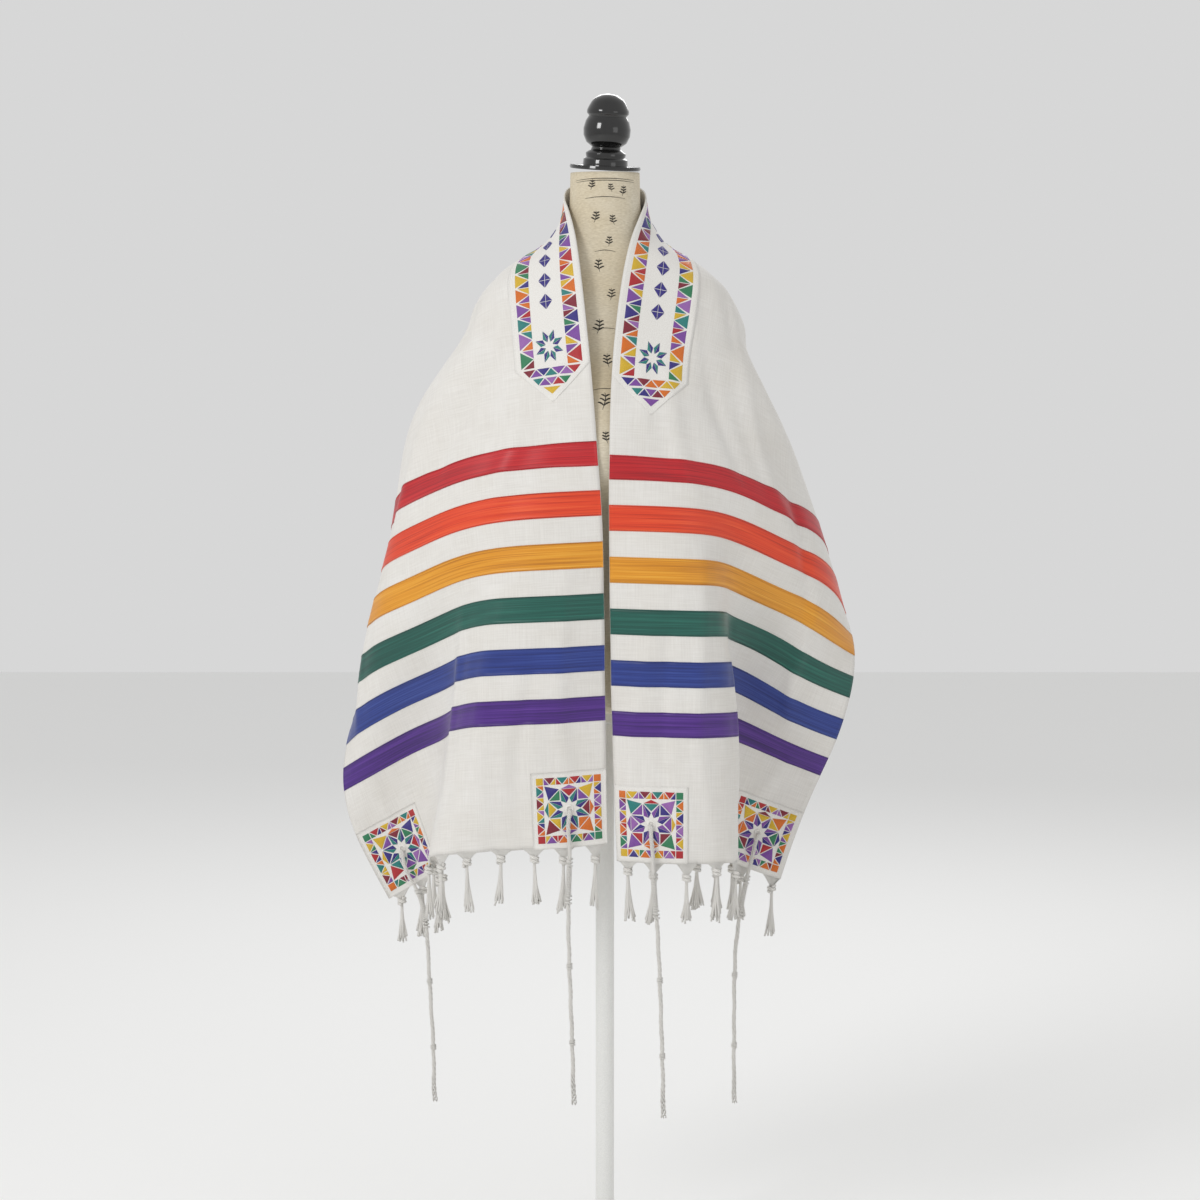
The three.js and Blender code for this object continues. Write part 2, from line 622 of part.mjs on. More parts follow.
for (const { name, sign, across, hang } of CORD_ROUTES) {
  const n = at(nearest(runs, sign * EYELET_RUN), nearest(acrosses, across));
  const eyelet = new THREE.Vector3().fromArray(cloth, n * 3).addScaledVector(outward[n], CORD_STANDOFF);
  const route = [eyelet, ...hang.map(([x, y, down]) => eyelet.clone().add(new THREE.Vector3(x, y, -down)))];
  const path = new THREE.CatmullRomCurve3(route);
  const section = new THREE.Shape(
    Array.from({ length: 8 }, (_, k) => {
      const angle = (Math.PI * k) / 4;
      return new THREE.Vector2(Math.cos(angle), Math.sin(angle)).multiplyScalar(CORD_DIAMETER / 2);
    }),
  );
  const tube = new THREE.ExtrudeGeometry(section, { extrudePath: path, steps: 26, bevelEnabled: false });
  add(`corner_tassel_${name}`, tube, material(COLOURS.thread, 0.9));
}

export default object;
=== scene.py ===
import math
import bpy
import numpy as np
from mathutils import Matrix, Vector


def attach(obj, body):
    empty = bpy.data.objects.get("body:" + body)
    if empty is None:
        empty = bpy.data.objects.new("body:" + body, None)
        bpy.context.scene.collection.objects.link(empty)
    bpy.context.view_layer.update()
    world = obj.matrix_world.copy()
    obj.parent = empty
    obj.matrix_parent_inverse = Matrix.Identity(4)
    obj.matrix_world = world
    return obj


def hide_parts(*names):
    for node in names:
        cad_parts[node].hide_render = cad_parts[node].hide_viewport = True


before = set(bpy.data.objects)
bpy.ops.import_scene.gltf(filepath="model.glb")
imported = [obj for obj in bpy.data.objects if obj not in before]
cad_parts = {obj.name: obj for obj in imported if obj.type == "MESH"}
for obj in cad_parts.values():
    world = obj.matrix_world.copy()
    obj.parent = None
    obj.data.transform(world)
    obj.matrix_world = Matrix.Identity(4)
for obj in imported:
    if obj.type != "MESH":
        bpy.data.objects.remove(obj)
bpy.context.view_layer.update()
MM = 0.001

# ---------------------------------------------------------------- shawl cloth
# One oblong of white plain-woven wool and cotton, 500 x 1950 mm, worn over the form's shoulders.
# "run" is measured along it from the centre back, "across" from the neck edge outwards.
# It is laid on folded over each shoulder and settles by its own weight, as in the solid model.
HALF_LENGTH = 975
WIDTH = 500
RIBBON = 33.5
RIBBON_PITCH = 67
RIBBON_TO_HEM = 163
PATCH = 104
ATARA_TIP = 395
FORM_CLEARANCE = 7
SETTLE_STEPS = 420
SETTLE_PASSES = 8
FALL = 0.25
KEEP = 0.97
FASTEST = 6
EASE_STEPS = 120
CLOTH_HALF_WALL = 0.6
RIBBON_LIFTS = (0.65, 1.25)
COTTON_LIFTS = (0.65, 1.3)
COTTON_STITCH = {"low": 1.2, "high": 1.7}

# z, half width, half depth and centre of the form's rings
FORM = np.array([
    (795, 148, 110, 3), (840, 148, 112, 3), (900, 138, 108, 2), (975, 128, 104, 0),
    (1050, 146, 122, -10), (1120, 164, 136, -18), (1180, 172, 126, -14), (1235, 177, 108, -6),
    (1290, 177, 92, 0), (1330, 163, 78, 4), (1356, 142, 69, 7), (1377, 113, 62, 8),
    (1391, 86, 57, 8), (1404, 62, 53, 7), (1423, 51, 50, 6), (1452, 47.5, 47, 5),
    (1495, 46, 46, 5),
], float)
# run, left x, left z, right x, right z, y of each front's neck edge
NECK_EDGE = np.array([
    (96, -53, 1470, 50, 1463, 8), (150, -38, 1429, 30, 1423, -46), (210, -31, 1376, 18, 1363, -84),
    (300, -21, 1290, 9, 1275, -118), (395, -13, 1199, 5, 1178, -142), (511, -3, 1083, 4, 1062, -152),
    (779, 0, 812, 8, 794, -150), (975, 2, 621, 16, 596, -148),
], float)
NAPE = (0, 58, 1468)
# run, across, x, y, z of the fronts' turning edges, valleys and outer flaps
FOLDS = np.array([
    (-300, 90, -100, -110, 1290), (-300, 200, -215, -60, 1270), (-300, 270, -245, 0, 1255),
    (-444, 90, -95, -145, 1150),
    (-444, 180, -185, -110, 1140), (-444, 260, -245, -60, 1110), (-444, 330, -285, 0, 1080),
    (-511, 130, -130, -150, 1085),
    (-511, 200, -190, -120, 1070), (-511, 290, -250, -50, 1035), (-511, 380, -300, 10, 1005),
    (-578, 120, -115, -150, 1020),
    (-578, 190, -185, -140, 1010), (-578, 300, -270, -30, 950), (-578, 410, -315, 10, 925),
    (-645, 150, -145, -155, 955),
    (-645, 195, -190, -145, 945), (-645, 270, -230, -70, 900), (-645, 440, -335, 15, 840),
    (-712, 150, -140, -155, 885),
    (-712, 195, -190, -150, 880), (-712, 300, -260, -20, 815), (-712, 465, -350, 20, 750),
    (-779, 150, -140, -155, 820),
    (-779, 195, -185, -150, 820), (-779, 320, -245, -10, 765), (-779, 390, -265, 10, 735),
    (-779, 495, -365, 25, 675),
    (-871, 195, -190, -150, 715), (-871, 396, -270, 10, 645), (-871, 500, -350, 25, 595),
    (-975, 150, -135, -150, 610),
    (-975, 203, -195, -150, 600), (-975, 396, -215, 5, 570), (-975, 500, -295, 25, 505),
    (300, 90, 85, -110, 1265),
    (300, 200, 185, -60, 1230), (444, 118, 120, -140, 1130), (444, 240, 205, -80, 1100),
    (444, 362, 285, 5, 1055),
    (511, 118, 125, -150, 1060), (511, 380, 310, 10, 970), (578, 115, 120, -150, 995),
    (578, 260, 220, -70, 960),
    (578, 430, 340, 10, 890), (645, 122, 130, -150, 930), (645, 420, 265, 0, 865), (645, 500, 350, 25, 825),
    (712, 126, 135, -150, 865), (712, 350, 190, -5, 835), (712, 500, 330, 30, 760),
    (779, 131, 135, -150, 795),
    (779, 326, 150, 5, 770), (779, 415, 230, 15, 745), (779, 500, 310, 30, 705), (871, 126, 135, -150, 700),
    (871, 398, 190, 20, 675), (871, 500, 280, 30, 635), (975, 120, 135, -150, 590), (975, 396, 150, 15, 590),
    (975, 500, 245, 30, 545),
], float)
# z, reach to the left, reach to the right
OUTLINE = np.array([
    (450, 255, 205), (510, 295, 228), (606, 351, 267), (679, 363, 296), (766, 348, 328),
    (833, 336, 345), (891, 325, 341), (978, 307, 308), (1060, 289, 286), (1167, 266, 245),
    (1315, 227, 189), (1343, 219, 185), (1372, 200, 153), (1394, 150, 123), (1402, 120, 85),
    (1424, 84, 62), (1461, 66, 60),
], float)


def spread(start, end, parts):
    return [start + (end - start) * (i + 1) / parts for i in range(parts)]


ribbon_tops = [HALF_LENGTH - RIBBON_TO_HEM - RIBBON - RIBBON_PITCH * (5 - k) for k in range(6)]
half_runs = [0, *spread(0, 96, 4), *spread(96, 150, 2), *spread(150, 300, 5)]
half_runs += spread(300, ATARA_TIP - PATCH / 2, 2) + spread(ATARA_TIP - PATCH / 2, ATARA_TIP, 2)
half_runs += [(ATARA_TIP + ribbon_tops[0]) / 2]
half_runs += [edge for top in ribbon_tops for edge in (top, top + RIBBON)]
half_runs += spread(HALF_LENGTH - RIBBON_TO_HEM, HALF_LENGTH - PATCH, 2)
half_runs += spread(HALF_LENGTH - PATCH, HALF_LENGTH, 3)
runs = np.array([-r for r in half_runs[:0:-1]] + half_runs)
acrosses = np.array([0, *spread(0, PATCH, 4), *spread(PATCH, WIDTH - PATCH, 13),
                     *spread(WIDTH - PATCH, WIDTH, 4)])
ROWS, COLS = len(runs), len(acrosses)


def put_on():
    turn, neck_run = 70, 85
    quarter = math.pi * turn / 2
    run, across = np.meshgrid(runs, acrosses, indexing="ij")
    side = np.where(run < 0, -1, 1)
    off = (abs(run) - across - neck_run) / math.sqrt(2)
    along = (abs(run) + across - neck_run) / math.sqrt(2)
    curved = abs(off) < quarter
    down = np.where(curved, -turn * np.cos(off / turn), abs(off) - quarter)
    y = np.where(curved, -turn * np.sin(off / turn), -turn * np.sign(off))
    x = side * (neck_run + (along - down - quarter) / math.sqrt(2))
    z = NAPE[2] - 3 - (along + down + quarter) / math.sqrt(2)
    return np.stack([x, y, z], -1).reshape(-1, 3)


def links_between_threads():
    grid = np.arange(ROWS * COLS).reshape(ROWS, COLS)
    flat = np.stack(np.meshgrid(runs, acrosses, indexing="ij"), -1).reshape(-1, 2)
    links = []

    def add(a, b, hold):
        a, b = a.ravel(), b.ravel()
        links.append((a, b, np.linalg.norm(flat[a] - flat[b], axis=1), hold))

    def every(count, hop, odd):
        return np.array([i for i in range(count - hop) if (i // hop) % 2 == odd])

    for odd in (0, 1):
        i, j = every(ROWS, 1, odd), every(COLS, 1, odd)
        add(grid[i], grid[i + 1], 1)
        add(grid[:, j], grid[:, j + 1], 1)
    for odd in (0, 1):
        i = every(ROWS, 1, odd)
        add(grid[i][:, :-1], grid[i + 1][:, 1:], 0.35)
        add(grid[i][:, 1:], grid[i + 1][:, :-1], 0.35)
    for odd in (0, 1):
        for hop, hold in ((2, 0.16), (4, 0.03)):
            i, j = every(ROWS, hop, odd), every(COLS, hop, odd)
            add(grid[i], grid[i + hop], hold)
            add(grid[:, j], grid[:, j + hop], hold)
    return links


def known_places():
    places, pulls, nodes = [], [], []
    for i, run in enumerate(runs):
        if abs(run) < 90:
            continue
        column = 1 if run < 0 else 3
        x, z, y = (np.interp(abs(run), NECK_EDGE[:, 0], NECK_EDGE[:, c]) for c in (column, column + 1, 5))
        nodes.append(i * COLS)
        places.append((x, y, z))
        pulls.append((0.3, 0.3, 0.3))
    nodes.append((ROWS // 2) * COLS)
    places.append(NAPE)
    pulls.append((0.3, 0.3, 0.3))
    for run, across, x, y, z in FOLDS:
        nodes.append(int(np.argmin(abs(runs - run))) * COLS + int(np.argmin(abs(acrosses - across))))
        places.append((x, y, z))
        pulls.append((0.12, 0.05, 0.12))
    return np.array(nodes), np.array(places, float), np.array(pulls)


def push_out(p):
    z = p[:, 2]

    def ring(height, column):
        return np.interp(height, FORM[:, 0], FORM[:, column])

    a, b = ring(z, 1) + FORM_CLEARANCE, ring(z, 2) + FORM_CLEARANCE
    x, y = p[:, 0], p[:, 1] - ring(z, 3)
    f = np.hypot(x / a, y / b)
    inside = (f < 1) & (z >= FORM[0, 0]) & (z <= NAPE[2] + 32)
    slope_a, slope_b, slope_y = ((ring(z + 1, c) - ring(z - 1, c)) / 2 for c in (1, 2, 3))
    g = np.maximum(f, 1e-3)
    gx, gy = x / (a * a * g), y / (b * b * g)
    gz = -(x * x * slope_a / a**3 + y * y * slope_b / b**3) / g - y * slope_y / (b * b * g)
    gg = gx * gx + gy * gy + gz * gz
    k = np.where(inside, np.minimum((1 - f) / gg, 30 / np.sqrt(gg)), 0)
    p += k[:, None] * np.stack([gx, gy, gz], -1)


def settled_cloth():
    p = put_on()
    speed = np.zeros_like(p)
    links = links_between_threads()
    nodes, places, pulls = known_places()
    for step in range(SETTLE_STEPS):
        eased = min(1, step / EASE_STEPS)
        before = p.copy()
        speed *= KEEP
        speed[:, 2] -= FALL
        size = np.linalg.norm(speed, axis=1)
        speed *= (np.minimum(size, FASTEST) / np.maximum(size, 1e-9))[:, None]
        p += speed
        for _ in range(SETTLE_PASSES):
            for a, b, rest, hold in links:
                d = p[b] - p[a]
                c = (hold * 0.5 * (1 - rest / np.sqrt((d * d).sum(1))))[:, None] * d
                p[a] += c
                p[b] -= c
            p[nodes] += pulls * eased * (places - p[nodes])
            reach = np.where(p[:, 0] < 0, np.interp(p[:, 2], OUTLINE[:, 0], OUTLINE[:, 1]),
                             np.interp(p[:, 2], OUTLINE[:, 0], OUTLINE[:, 2]))
            over = np.maximum(abs(p[:, 0]) - reach, 0)
            p[:, 0] -= np.sign(p[:, 0]) * over * 0.5
            push_out(p)
        speed = p - before
    for _ in range(4):
        for axis in (0, 1):
            g = p.reshape(ROWS, COLS, 3).swapaxes(0, axis).copy()
            g[1:-1] = 0.5 * g[1:-1] + 0.25 * (g[:-2] + g[2:])
            p = g.swapaxes(0, axis).reshape(-1, 3).copy()
        push_out(p)
    return p.reshape(ROWS, COLS, 3)


def spline(knots, values, x):
    """Smooth curve through values at knots, read at x, along the first axis."""
    k = np.clip(np.searchsorted(knots, x, side="right") - 1, 0, len(knots) - 2)
    h = (knots[k + 1] - knots[k])[:, None, None]
    t = ((x - knots[k]) / (knots[k + 1] - knots[k]))[:, None, None]
    slope = np.gradient(values, knots, axis=0)
    return ((2 * t**3 - 3 * t**2 + 1) * values[k] + (t**3 - 2 * t**2 + t) * h * slope[k]
            + (3 * t**2 - 2 * t**3) * values[k + 1] + (t**3 - t**2) * h * slope[k + 1])


# Creases: from (run, across) to (run, across), half width and height of each soft ridge or trough, in mm
CREASES = [
    (-960, 40, -560, 62, 13, 2.6), (-968, 118, -690, 98, 11, -2.8), (-955, 165, -610, 150, 14, 3.0),
    (-900, 235, -640, 215, 10, 3.2), (-560, 150, -330, 60, 15, 3.2), (-470, 240, -300, 120, 13, -3.4),
    (-500, 330, -290, 170, 16, 3.8), (-620, 420, -360, 260, 13, -3.0), (-760, 455, -560, 380, 11, 2.6),
    (-940, 430, -800, 455, 10, 2.2), (-330, 120, -170, 96, 9, 2.4), (-300, 190, -160, 128, 8, -2.4),
    (-250, 250, -150, 150, 10, 2.8), (-240, 330, -120, 190, 12, 3.2), (-190, 400, -80, 240, 12, -3.0),
    (-120, 470, -40, 260, 13, 3.0), (960, 30, 640, 48, 12, 2.4), (965, 84, 600, 72, 10, -2.4),
    (950, 140, 560, 118, 12, 2.8), (900, 210, 690, 190, 9, 2.6), (520, 130, 300, 58, 14, 3.0),
    (470, 210, 290, 110, 13, -3.2), (510, 300, 280, 165, 15, 3.6), (640, 390, 350, 250, 12, -3.0),
    (770, 440, 570, 360, 11, 2.8), (940, 420, 790, 450, 9, 2.0), (320, 116, 176, 92, 9, 2.4),
    (290, 180, 160, 124, 8, -2.2), (245, 240, 150, 146, 10, 2.6), (235, 320, 116, 186, 12, 3.0),
    (185, 390, 76, 230, 12, -2.8), (110, 465, 36, 250, 13, 2.8), (-16, 480, 10, 180, 15, -2.6),
    (60, 300, 150, 470, 11, 2.0), (-64, 310, -150, 478, 11, 2.0), (-420, 46, -300, 30, 8, 1.4),
    (430, 52, 310, 34, 8, 1.4),
]
FINE_RUNS = np.linspace(-HALF_LENGTH, HALF_LENGTH, 279)
FINE_ACROSSES = np.linspace(0, WIDTH, 91)


def outward_of(grid):
    n = np.cross(np.gradient(grid, axis=0), np.gradient(grid, axis=1))
    return n / np.linalg.norm(n, axis=-1, keepdims=True)


def creased(grid):
    run, across = np.meshgrid(FINE_RUNS, FINE_ACROSSES, indexing="ij")
    lift = np.zeros_like(run)
    for run_a, across_a, run_b, across_b, width, height in CREASES:
        along = np.array([run_b - run_a, across_b - across_a], float)
        length = np.linalg.norm(along)
        along /= length
        s = (run - run_a) * along[0] + (across - across_a) * along[1]
        bow = 0.035 * length * np.sin(np.clip(s / length, 0, 1) * math.pi * 1.4)
        off = (across - across_a) * along[0] - (run - run_a) * along[1] - bow
        ends = np.clip(s / length, 0, 1)
        fade = np.sin(math.pi * ends) ** 0.8 * ((s > 0) & (s < length))
        lift += 1.5 * height * fade * np.exp(-((off / width) ** 2))
    # the hem and the long edges ripple a little
    ripple = 1.1 * np.sin(run / 31.0 + 0.7 * np.sin(run / 83.0)) * np.exp(-(WIDTH - across) / 26)
    ripple += 0.7 * np.sin(run / 23.0 + np.sin(run / 57.0)) * np.exp(-across / 20) * (abs(run) > ATARA_TIP)
    ripple += 1.6 * np.sin(across / 6.6) * np.exp(-(HALF_LENGTH - abs(run)) / 16)
    return grid + outward_of(grid) * (lift + ripple)[..., None]


fine = spline(acrosses, spline(runs, settled_cloth(), FINE_RUNS).swapaxes(0, 1), FINE_ACROSSES).swapaxes(0, 1)
fine = creased(fine)
fine_out = outward_of(fine)


def lay(run, across, lift):
    """Points in metres that lie on the cloth at run and across, lifted off its middle, all in mm."""
    run, across, lift = np.broadcast_arrays(np.asarray(run, float), np.asarray(across, float),
                                            np.asarray(lift, float))
    u = np.clip((run - FINE_RUNS[0]) / (FINE_RUNS[1] - FINE_RUNS[0]), 0, len(FINE_RUNS) - 1.000001)
    v = np.clip(across / (FINE_ACROSSES[1] - FINE_ACROSSES[0]), 0, len(FINE_ACROSSES) - 1.000001)
    i, j = u.astype(int), v.astype(int)
    u, v = (u - i)[..., None], (v - j)[..., None]

    def mix(g):
        return ((1 - u) * ((1 - v) * g[i, j] + v * g[i, j + 1]) + u * ((1 - v) * g[i + 1, j] + v * g[i + 1,
                                                                                                     j + 1]))

    n = mix(fine_out)
    n /= np.linalg.norm(n, axis=-1, keepdims=True)
    return (mix(fine) + n * lift[..., None]) * MM


def new_piece(name, points, faces, uv=None, colours=None, smooth=True):
    mesh = bpy.data.meshes.new(name)
    mesh.from_pydata([tuple(p) for p in points], [], faces)
    if uv is not None:
        layer = mesh.uv_layers.new(name="UVMap")
        index = np.empty(len(mesh.loops), dtype=np.int32)
        mesh.loops.foreach_get("vertex_index", index)
        layer.data.foreach_set("uv", np.asarray(uv, np.float32)[index].ravel())
    if colours is not None:
        attribute = mesh.color_attributes.new("thread_colour", "FLOAT_COLOR", "POINT")
        attribute.data.foreach_set("color", np.asarray(colours, np.float32).ravel())
    mesh.polygons.foreach_set("use_smooth", [smooth] * len(mesh.polygons))
    mesh.update()
    piece = bpy.data.objects.new(name, mesh)
    bpy.context.scene.collection.objects.link(piece)
    return piece


def wall_on_cloth(name, run, across, low, high):
    """A thin closed wall over a grid of places on the cloth, with its UV in metres."""
    rows, cols = run.shape
    top = lay(run, across, high).reshape(-1, 3)
    under = lay(run, across, low).reshape(-1, 3)
    count = rows * cols
    number = np.arange(count).reshape(rows, cols)
    a, b, c, d = number[:-1, :-1], number[1:, :-1], number[1:, 1:], number[:-1, 1:]
    quads = np.stack([a, b, c, d], -1).reshape(-1, 4)
    flipped = (run[-1, 0] - run[0, 0]) * (across[0, -1] - across[0, 0]) < 0
    if flipped:
        quads = quads[:, ::-1]
    faces = quads.tolist() + (quads[:, ::-1] + count).tolist()
    rim = np.concatenate([number[:-1, 0], number[-1, :-1], number[:0:-1, -1], number[0, :0:-1]])
    for m, n in zip(rim, np.roll(rim, -1)):
        faces.append([n, m, m + count, n + count] if flipped else [m + count, n + count, n, m])
    uv = np.stack([run.ravel() * MM, across.ravel() * MM], -1)
    return new_piece(name, np.vstack([top, under]), faces, np.vstack([uv, uv]))


def linear(hex_colour):
    parts = [int(hex_colour[k:k + 2], 16) / 255 for k in (1, 3, 5)]
    return tuple(c / 12.92 if c <= 0.04045 else ((c + 0.055) / 1.055) ** 2.4 for c in parts) + (1.0,)


def add_node(tree, kind, inputs=(), **settings):
    """Adds a node, gives it its settings, and sets or links its inputs by name or number."""
    node = tree.nodes.new(kind)
    for key, value in settings.items():
        setattr(node, key, value)
    for key, value in dict(inputs).items():
        if isinstance(value, bpy.types.NodeSocket):
            tree.links.new(value, node.inputs[key])
        else:
            node.inputs[key].default_value = value
    return node


def start_material(name):
    material = bpy.data.materials.new(name)
    material.use_nodes = True
    tree = material.node_tree
    return material, tree, tree.nodes["Principled BSDF"]


def ramp(tree, fac, stops):
    node = add_node(tree, "ShaderNodeValToRGB", {"Fac": fac})
    while len(node.color_ramp.elements) < len(stops):
        node.color_ramp.elements.new(0.5)
    for element, (place, colour) in zip(node.color_ramp.elements, stops):
        element.position = place
        element.color = linear(colour)
    return node.outputs["Color"]


def threads(tree, along, thick, seed_shift=0.0):
    """Noise drawn out along one way of the cloth, as uneven yarns give: sizes in mm."""
    uv = add_node(tree, "ShaderNodeUVMap", uv_map="UVMap").outputs["UV"]
    scale = (1000 / along, 1000 / thick, 1)
    mapped = add_node(tree, "ShaderNodeMapping",
                      {"Vector": uv, "Scale": scale, "Location": (seed_shift, 0, 0)})
    return add_node(tree, "ShaderNodeTexNoise",
                    {"Vector": mapped.outputs["Vector"], "Scale": 1.0, "Detail": 2.0,
                                                 "Roughness": 0.55}).outputs["Fac"]


# Plain-woven wool and cotton, undyed: matt, with slightly uneven yarns both ways.
# Real threads are 0.4 mm apart; the yarn streaks are drawn 1.6 mm wide so that they show.
woven, tree, bsdf = start_material("woven_wool_cotton")
warp = threads(tree, 42, 1.6)
weft = threads(tree, 1.6, 42, 3.0)
both = add_node(tree, "ShaderNodeMath", {0: warp, 1: weft}, operation="ADD").outputs["Value"]
half_both = add_node(tree, "ShaderNodeMath", {0: both, 1: 0.5}, operation="MULTIPLY").outputs["Value"]
soft = add_node(tree, "ShaderNodeTexNoise",
                {"Vector": add_node(tree, "ShaderNodeUVMap", uv_map="UVMap").outputs["UV"],
                                             "Scale": 14.0, "Detail": 3.0}).outputs["Fac"]
tone = ramp(tree, half_both, [(0.3, "#dad7d2"), (0.7, "#e8e6e2")])
shade = ramp(tree, soft, [(0.3, "#faf9f7"), (0.7, "#ffffff")])
colour = add_node(tree, "ShaderNodeMix", {0: 1.0, 6: tone, 7: shade}, data_type="RGBA",
                  blend_type="MULTIPLY").outputs[2]
tree.links.new(colour, bsdf.inputs["Base Color"])
wave = add_node(tree, "ShaderNodeBump", {"Height": half_both, "Strength": 0.5, "Distance": 0.0006})
soft_bump = add_node(tree, "ShaderNodeBump", {"Height": soft, "Strength": 0.35, "Distance": 0.004,
                                              "Normal": wave.outputs["Normal"]})
tree.links.new(soft_bump.outputs["Normal"], bsdf.inputs["Normal"])
bsdf.inputs["Roughness"].default_value = 0.86
bsdf.inputs["Sheen Weight"].default_value = 0.25
bsdf.inputs["Sheen Roughness"].default_value = 0.5
bsdf.inputs["Specular IOR Level"].default_value = 0.25

run_grid, across_grid = np.meshgrid(FINE_RUNS, FINE_ACROSSES, indexing="ij")
shawl = wall_on_cloth("shawl", run_grid, across_grid, -CLOTH_HALF_WALL, CLOTH_HALF_WALL)
shawl.data.materials.append(woven)
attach(shawl, "root")
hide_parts("shawl_cloth")

# ---------------------------------------------------------------- ribbons
# Six dyed silk ribbons across each end of the shawl, laid flat and stitched along both edges.
# Satin gives a soft sheen that changes along the folds, with fine streaks lengthwise. Broad lighter and
# darker bands along each ribbon are painted sheen, mixed into the colour with the real yarn streaks.
RIBBON_COLOURS = {
    "red": ("#7d0b16", "#b8141f", "#cf2a2c"),
    "orange": ("#a92a12", "#dc3f1b", "#ee6030"),
    "gold": ("#b06c12", "#dc921f", "#efb443"),
    "green": ("#0c3b35", "#17564b", "#2b7565"),
    "blue": ("#15205a", "#243884", "#3b539f"),
    "purple": ("#2a1152", "#48217c", "#633a99"),
}


def silk(name, dark, middle, light):
    material, tree, bsdf = start_material("silk_satin_" + name)
    streaks = threads(tree, 1.3, 160, len(name))
    # painted sheen: broad lighter and darker bands lengthwise in the ribbon's colour
    painted_sheen_bands = threads(tree, 5, 240, 2.0 * len(name))
    mixed = add_node(tree, "ShaderNodeMath", {0: streaks, 1: painted_sheen_bands}, operation="ADD").outputs["Value"]
    fac = add_node(tree, "ShaderNodeMath", {0: mixed, 1: 0.5}, operation="MULTIPLY").outputs["Value"]
    tone = ramp(tree, fac, [(0.3, dark), (0.5, middle), (0.7, light)])
    tree.links.new(tone, bsdf.inputs["Base Color"])
    bump = add_node(tree, "ShaderNodeBump", {"Height": streaks, "Strength": 0.35, "Distance": 0.0005})
    tree.links.new(bump.outputs["Normal"], bsdf.inputs["Normal"])
    bsdf.inputs["Roughness"].default_value = 0.42
    bsdf.inputs["Anisotropic"].default_value = 0.5
    bsdf.inputs["Sheen Weight"].default_value = 0.2
    bsdf.inputs["Specular IOR Level"].default_value = 0.45
    return material


def stitches(name, lines, material, length=2.6, pitch=4.2, wide=0.55, low=0.4, high=1.0):
    """Rows of small raised stitches on the cloth, each along a line of (run, across) points in mm."""
    points, faces, uv = [], [], []
    for line in lines:
        line = np.asarray(line, float)
        step = np.linalg.norm(np.diff(line, axis=0), axis=1)
        total = np.concatenate([[0], np.cumsum(step)])
        for start in np.arange(pitch * 0.5, total[-1] - length, pitch):
            ends = [np.array([np.interp(start + d, total, line[:, c]) for c in (0, 1)]) for d in (0, length)]
            way = (ends[1] - ends[0]) / max(np.linalg.norm(ends[1] - ends[0]), 1e-6)
            aside = np.array([-way[1], way[0]]) * wide / 2
            base = len(points)
            for p in (ends[0] - aside, ends[0] + aside, ends[1] + aside, ends[1] - aside):
                points.append((p[0], p[1], low))
            middle = (ends[0] + ends[1]) / 2
            for p in (middle - way * length * 0.28, middle + way * length * 0.28):
                points.append((p[0], p[1], high))
            a, b, c, d, e, f = range(base, base + 6)
            faces += [[a, e, b], [b, e, f, c], [c, f, d], [d, f, e, a], [a, b, c, d]]
    p = np.array(points)
    placed = lay(p[:, 0], p[:, 1], p[:, 2])
    piece = new_piece(name, placed, faces, p[:, :2] * MM, smooth=False)
    recalculated(piece)
    piece.data.materials.append(material)
    return piece


def recalculated(piece):
    bpy.ops.object.select_all(action="DESELECT")
    bpy.context.view_layer.objects.active = piece
    piece.select_set(True)
    bpy.ops.object.mode_set(mode="EDIT")
    bpy.ops.mesh.select_all(action="SELECT")
    bpy.ops.mesh.normals_make_consistent(inside=False)
    bpy.ops.object.mode_set(mode="OBJECT")
    piece.select_set(False)


white_thread, tree, bsdf = start_material("white_sewing_thread")
fuzz = add_node(tree, "ShaderNodeTexNoise", {"Vector": add_node(tree, "ShaderNodeTexCoord").outputs["Object"],
                                             "Scale": 900.0}).outputs["Fac"]
tree.links.new(ramp(tree, fuzz, [(0.3, "#d8d5ce"), (0.7, "#f4f2ee")]), bsdf.inputs["Base Color"])
bsdf.inputs["Roughness"].default_value = 0.8

for side, sign in (("left", -1), ("right", 1)):
    for (name, shades), top in zip(RIBBON_COLOURS.items(), ribbon_tops):
        edges = np.linspace(sign * top, sign * (top + RIBBON), 9)
        run, across = np.meshgrid(edges, np.linspace(0.4, WIDTH - 0.4, 120), indexing="ij")
        ribbon = wall_on_cloth(f"ribbon_{name}_{side}_silk", run, across, *RIBBON_LIFTS)
        ribbon.data.materials.append(silk(name + "_" + side, *shades))
        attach(ribbon, "root")
        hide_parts(f"ribbon_{name}_{side}")
        dark = silk(name + "_stitch_" + side, shades[0], shades[0], shades[1])
        seam = stitches(f"ribbon_{name}_{side}_stitches",
                        [[(sign * (top + 1.1), 1), (sign * (top + 1.1), WIDTH - 1)],
                         [(sign * (top + RIBBON - 1.1), 1), (sign * (top + RIBBON - 1.1), WIDTH - 1)]],
                        dark, length=2.4, pitch=3.4, low=1.15, high=1.6)
        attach(seam, "root")

# ---------------------------------------------------------------- neck band
# A white cotton band sewn along the neck edge, with a point at each end, embroidered in satin stitch.
# The centre stays white with a chain of indigo lozenges; its edges are sawtooth patchwork.
cotton, tree, bsdf = start_material("white_cotton_twill")
weave = threads(tree, 1.4, 1.4)
tree.links.new(ramp(tree, weave, [(0.3, "#dcd9d3"), (0.7, "#ebe9e5")]), bsdf.inputs["Base Color"])
tree.links.new(add_node(tree, "ShaderNodeBump",
                        {"Height": weave, "Strength": 0.5, "Distance": 0.0005}).outputs["Normal"],
               bsdf.inputs["Normal"])
bsdf.inputs["Roughness"].default_value = 0.8
bsdf.inputs["Sheen Weight"].default_value = 0.2

